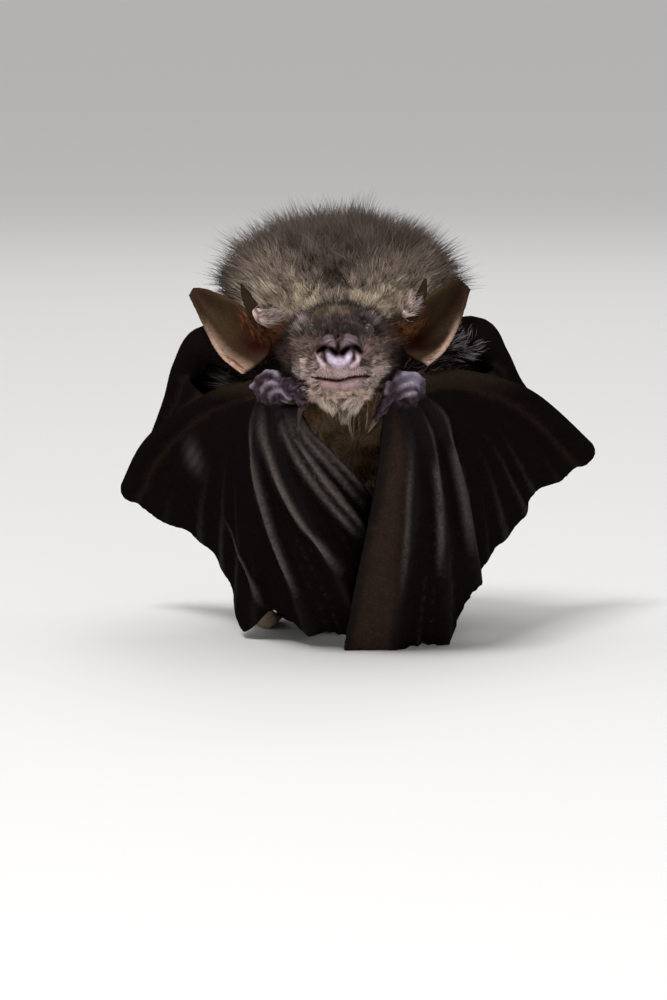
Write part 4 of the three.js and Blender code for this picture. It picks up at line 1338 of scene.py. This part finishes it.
def grow(name, density, count, length, thick, lean, lay, stand=0.2, ruffle=0.35, lock=(14, 0.55),
         dark=0.28, rings=2, tip_tone=None, wander=2.2, grizzle=0.25, avoid=True, stray=0.15):
    roots, out = scatter(count, density)
    order = np.argsort(roots[:, 0] + rng.normal(0, 0.4, count))
    roots, out = roots[order], out[order]
    along = np.broadcast_to(given(lay, roots), (count, 3))
    along = unit(along - out * (along * out).sum(axis=1)[:, None])
    long = given(length, roots) * rng.uniform(0.72, 1.12, count)
    lying = np.broadcast_to(given(lean, roots), count)[:, None]
    aim = unit(out * (1 - lying) + along * lying + ruffle * 0.5 * swirl(roots, wander, 11)
               + rng.normal(0, stray, (count, 3)))
    aim = unit(aim + out * np.clip(0.12 - (aim * out).sum(axis=1), 0, None)[:, None])
    bend = (along * 0.25 * lying + 0.25 * ruffle * swirl(roots, wander * 0.6, 12)
            + stand * np.array((0, 0, 0.3)))
    tips = roots + long[:, None] * (aim + bend)
    leader = leaders_of(roots, lock[0])
    bend = bend + (tips[leader] - tips) * lock[1] / long[:, None]
    if avoid:
        long = stop_short(roots, aim, bend, long)
    tips_tone = coat_colours_and_shade(roots) if tip_tone is None else np.tile(tip_tone, (count, 1))
    own_shade, lock_shade = rng.normal(0, 1, count), rng.normal(0, 1, count)[leader]
    shade = np.exp(grizzle * (0.6 * own_shade + 0.8 * lock_shade))[:, None]
    shade = shade * (1 + 0.25 * swirl(roots, 1.6, 13)[:, :1])
    tips_tone = tips_tone * np.clip(shade, 0.35, 2.2)
    tips_tone = tips_tone / np.maximum(tips_tone.max(axis=1) / 0.85, 1)[:, None]
    limit = MOST_TRIANGLES // (6 * (rings - 1) + 4)
    parts = max(1, math.ceil(count / limit))
    for part, chosen in enumerate(np.array_split(np.arange(count), parts)):
        label = name if parts == 1 else f"{name}_{part + 1}"
        verts, tones = tuft_points(roots[chosen], aim[chosen], bend[chosen], long[chosen], thick,
                                   tips_tone[chosen] * dark, tips_tone[chosen], rings)
        tuft_mesh(label, roots[chosen], verts, tones, rings)


# %% [markdown]
# On the back the wool stands up and outwards, and lies more towards the tail. It is longest on the
# shoulders, which makes the round hump behind the head.

# %% Back, flanks and belly
trunk = near("trunk", rounds=1)
x, y, z = points.T
on_hump = trunk * (y < 17) * (z > 33)
on_rump = trunk * (y >= 17)
on_belly = trunk * (y < 17) * (z <= 33) * (np.abs(x) < 12)


def depth_here(roots):
    rows = np.array(TRUNK)[::-1]
    return np.interp(roots[:, 1], rows[:, 0], rows[:, 4])


def backwards(roots):
    """Towards the tail over the back, and straight up on the front of the hump."""
    front = ramp(roots[:, 1], 5, -3)[:, None]
    x, y, z = roots.T
    back = np.stack([x * 0.03, np.full(len(x), 0.8), np.where(y > 8, -0.6, 0.2)], axis=1)
    return lerp(back, np.stack([x * 0.04, np.full(len(x), 0.1), np.full(len(x), 1.0)], axis=1), front)


def back_length(roots):
    low_side = ramp(np.abs(roots[:, 0]), 8, 12) * ramp(roots[:, 2], 47, 43)
    front = ramp(roots[:, 1], -1, -5)
    wide = ramp(np.abs(roots[:, 0]), 10, 14)
    return (depth_here(roots) * 0.98 + 0.8) * (1 - 0.62 * low_side) * (1 - 0.25 * front) * (1 - 0.3 * wide)


def back_lean(roots):
    return np.interp(roots[:, 1], [-8, 0, 8, 17], [0.45, 0.25, 0.25, 0.6])


wool_here = on_hump * np.where(y < 8, 1.8, 0.7) * np.where(z > 40, 1.3, 0.7)
grow("back_fur", wool_here, 58000, back_length, 0.056, back_lean, backwards, ruffle=1.2, stand=0.3,
     lock=(7, 0.5), wander=0.8, grizzle=0.42, stray=0.36)
guard_here = on_hump * (y < 14) * (z > 44) * (np.abs(x) < 11)
grow("guard_hair", guard_here, 2600, lambda roots: back_length(roots) * 1.15, 0.028, 0.2, backwards,
     ruffle=1.4, stand=0.4, lock=(20, 0.3), stray=0.4, dark=0.6)
grow("rump_fur", on_rump, 13000, lambda roots: depth_here(roots) * 1.35 + 0.5, 0.10, 0.62, backwards,
     ruffle=0.5)
grow("belly_fur", on_belly, 9000, lambda roots: depth_here(roots) * 1.1 + 0.5, 0.10, 0.6, backwards,
     ruffle=0.5)
grow("thigh_fur", near("thigh", rounds=1), 4000, 2.0, 0.07, 0.75, backwards, ruffle=0.4)
shoulder = near("upper_arm", "trunk", rounds=1) * (y < 8)
shoulder *= blob(points, (15.6, -2, 39), (1.5, 3, 1.8))
grow("shoulder_fur", shoulder, 300, 1.8, 0.05, 0.5, backwards, ruffle=0.9, lock=(9, 0.5), dark=0.6,
     tip_tone=tone(148, 136, 142), avoid=False)
# The throat fur is painted paler than its tan for the same reason: painted light in the shade between the
# wings.
throat = near("trunk", "head", "jaw", rounds=1) * blob(points, (2.6, -6, 30.0), (3.0, 8, 3.0))
grow("throat_fur", throat, 3000, 6.0, 0.07, 0.5, (0.1, -0.9, -0.8), ruffle=0.8, lock=(12, 0.6),
     dark=0.6, tip_tone=tone(246, 206, 166), grizzle=0.4)

# %% [markdown]
# On the face the coat is short and fine. It runs back from the nose, so its direction at any point
# is simply away from the nose. The hair of the chin spreads from a point inside it, and a pale
# fringe and a thin beard hang from under the lip.

# %% Face and chin
NOSE_TIP = np.array((-0.1, -30.5, 39.6))
DEEPER_IN_FUR = 1.2  # how much narrower the cropped ring around the right eye is
head = near("head", "muzzle", "jaw", rounds=1) * (1 - bald) * (bald < 0.35)
beard_here = ramp(z, 36.6, 35.8) * (y < -18)


def from_nose(roots):
    return roots - NOSE_TIP + np.array((0, 0.6, 0))


def face_length(roots):
    """Longer away from the nose, and cropped around the eyes."""
    far = np.linalg.norm(roots - NOSE_TIP, axis=1)
    to_left, to_right = (np.linalg.norm(roots - EYES[name], axis=1) for name in ("left", "right"))
    to_eye = np.minimum(to_left, to_right + DEEPER_IN_FUR)
    cropped = np.clip((to_eye - 0.9) / 1.8, 0.2, 1)
    return np.interp(far, [1.5, 4, 8, 14, 22], [0.45, 0.9, 1.4, 2.3, 3.2]) * cropped


face_here = head * (1 - beard_here) * (1 - (x < -3.9) * (z < 37.6)) * np.where(y < -20, 1.7, 0.8)
grow("face_fur", face_here, 34000, face_length, 0.052, 0.6, from_nose, ruffle=0.6, lock=(9, 0.55),
     dark=0.45, wander=1.1, grizzle=0.75, avoid=False, stray=0.22)
lip_here = stroke(UPPER_LIP, 0.55) * (dark < 0.1) * (stroke(MOUTH, 0.3) < 0.2)
grow("lip_fuzz", lip_here, 1500, 0.4, 0.022, 0.5, (0, -0.2, -1.0), ruffle=0.5, lock=(6, 0.3), dark=0.8,
     tip_tone=tone(220, 196, 192), avoid=False)


def from_chin(roots):
    return (roots - np.array((-0.1, -25.0, 39.0))) * np.array((1.4, 1.0, 1.0))


def below_lip(roots):
    return roots - np.array((-0.1, -24.0, 42.0))


def chin_length(roots):
    middle = np.exp(-((roots[:, 0] + 0.1) / 1.2) ** 2)
    return np.interp(roots[:, 2], [33.5, 35.5, 36.4, 37.2], [1.3, 1.8, 1.3, 0.5]) * (1 - 0.4 * middle)


beside_thumb = 1 - ramp(x, -3, -3.5) * (z < 37.4)
grow("chin_fur", head * beard_here * beside_thumb, 9000, chin_length, 0.034, 0.45, from_chin,
     ruffle=0.3, lock=(12, 0.55), dark=0.55, wander=0.8, grizzle=0.6, avoid=False, stray=0.14)
fringe = head * np.exp(-((z - 35.5) / 0.7) ** 2) * (y < -21) * (x > -2.6) * (x < 3.2)
fringe *= np.clip((np.abs(x + 0.1) - 0.7) / 0.6, 0.15, 1) * (z < 36.1)
grow("chin_fringe", fringe, 700, 2.3, 0.05, 0.6, below_lip, ruffle=0.25, dark=0.7, lock=(9, 0.6),
     grizzle=0.3, avoid=False, stray=0.1, tip_tone=tone(255, 236, 216))
tuft_here = sum(blob(points, (across, -25.0, 34.0), (0.25, 1.2, 0.8)) for across in (0.1, 1.3)) * head
grow("beard", tuft_here, 44, 4.4, 0.04, 0.6, (0.05, -0.35, -1.0), rings=3, ruffle=0.2,
     lock=(28, 0.72), dark=0.5, tip_tone=tone(206, 190, 172), avoid=False)
patch = sum(blob(points, spot, (2.0, 1.6, 1.4)) for spot in ((-8.8, -14.8, 44.2), (8.4, -14.8, 45.4)))
grow("brow_fur", patch * near("lobe", "head"), 420, 1.9, 0.03, 0.75, (1.0, -0.1, 0.25), ruffle=0.8,
     lock=(8, 0.5), dark=0.6, tip_tone=tone(196, 174, 166), avoid=False, grizzle=0.5)

# %% [markdown]
# Rust-coloured bristles guard the bottom of each ear, and reach from the cheek across its opening.


# %% Bristles at the ears
def over_the_ear(roots):
    across = np.sign(roots[:, 0])
    return np.stack([across, np.full(len(roots), 0.2), np.full(len(roots), 0.7)], axis=1)


ear_root = near("ear_left", "ear_right") * ramp(v_of, 0.42, 0.17) * ramp(u_of, 0.42, 0.17)
grow("ear_fur", ear_root, 2600, 1.0, 0.03, 0.7, over_the_ear, ruffle=0.5, lock=(10, 0.5), dark=0.5,
     tip_tone=tone(124, 76, 48), grizzle=0.5, avoid=False)

# %% [markdown]
# All of the coat shares one material, which reads the painted colour of each tuft.


# %% Fur material
def fur_material():
    finish = Finish("fur")
    place = finish.node("TexCoord", output="Object")
    painted = finish.node("Attribute", {"attribute_name": "tone"})
    fleck = finish.noise(place, 900.0, 3.0)
    return finish.set(Base_Color=tinted(finish, painted, 0.7 + fleck * 0.6), Roughness=0.5 + fleck * 0.2,
                      Specular_IOR_Level=0.2)


wool = fur_material()
for piece in coat_pieces:
    piece.data.materials.append(wool)
total = sum(triangles(piece) for piece in coat_pieces)
print("coat:", total, "triangles in", len(coat_pieces), "pieces")

# %% [markdown]
# ## Camera, light and floor
# The camera looks slightly down at the face from a little over half a metre, with a long lens, as
# one does with a small shy animal. It is placed by numbers, so that the picture is always the same.

# %% Camera
CAMERA = (-0.81, -626.65, 85.32)
CAMERA_TILT = 6  # degrees down
LENS, SENSOR_HEIGHT = 172.8, 36
camera_data = bpy.data.cameras.new("camera")
camera_data.sensor_fit = "VERTICAL"
camera_data.sensor_height = SENSOR_HEIGHT
camera_data.lens = LENS
camera_data.clip_end = 1000
camera = bpy.data.objects.new("camera", camera_data)
camera.location = np.array(CAMERA) * MM + SHIFT
camera.rotation_euler = (math.radians(90 - CAMERA_TILT), 0, 0)
bpy.context.collection.objects.link(camera)
bpy.context.scene.camera = camera


# %% [markdown]
# Dark skin shows its shape by its highlights. The key light stands high in front, and a weak one low
# in front lifts the shadows under the chin. A third picks out the edge of the coat from behind.


# %% Lights
def soft_light(name, place, size, power):
    """A square lamp aimed at the chest."""
    light = bpy.data.lights.new(name, "AREA")
    light.size = size
    light.energy = power
    lamp = bpy.data.objects.new(name, light)
    lamp.location = place
    aim = Vector((0, 0, 0.03)) - Vector(place)
    lamp.rotation_euler = aim.to_track_quat("-Z", "Y").to_euler()
    bpy.context.collection.objects.link(lamp)


soft_light("key", (-0.3, -0.62, 0.88), 0.3, 7.5)
soft_light("fill", (0.25, -0.8, 0.14), 0.4, 1.5)
soft_light("back", (0.1, 0.8, 0.7), 0.4, 1.2)
sun = bpy.data.lights.new("sky", "SUN")
sun.energy = 0.3
sun.angle = math.radians(60)
bpy.context.collection.objects.link(bpy.data.objects.new("sky", sun))
world = bpy.data.worlds.new("studio")
world.use_nodes = True
background = world.node_tree.nodes["Background"]
background.inputs["Color"].default_value = (0.45, 0.45, 0.45, 1)
background.inputs["Strength"].default_value = 1.0
bpy.context.scene.world = world
bpy.context.scene.view_settings.view_transform = "Standard"

# %% [markdown]
# The floor is a plain pale sheet. It is far larger than the bat, so that it fills the whole picture
# and its edge is never seen.

# %% Floor
start_fresh()
bpy.ops.mesh.primitive_plane_add(size=400, location=(0, 0, 0))
floor = bpy.context.object
floor.name = "floor"
paint = Finish("floor_paint")
floor.data.materials.append(paint.set(Base_Color=(0.82, 0.81, 0.8, 1), Roughness=0.9))
floor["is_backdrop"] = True

# %% Sizes and finish
model_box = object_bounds()
for name, box in (("packed", cad_box), ("finished", model_box)):
    print(name, [[round(value / MM, 1) for value in corner] for corner in box])
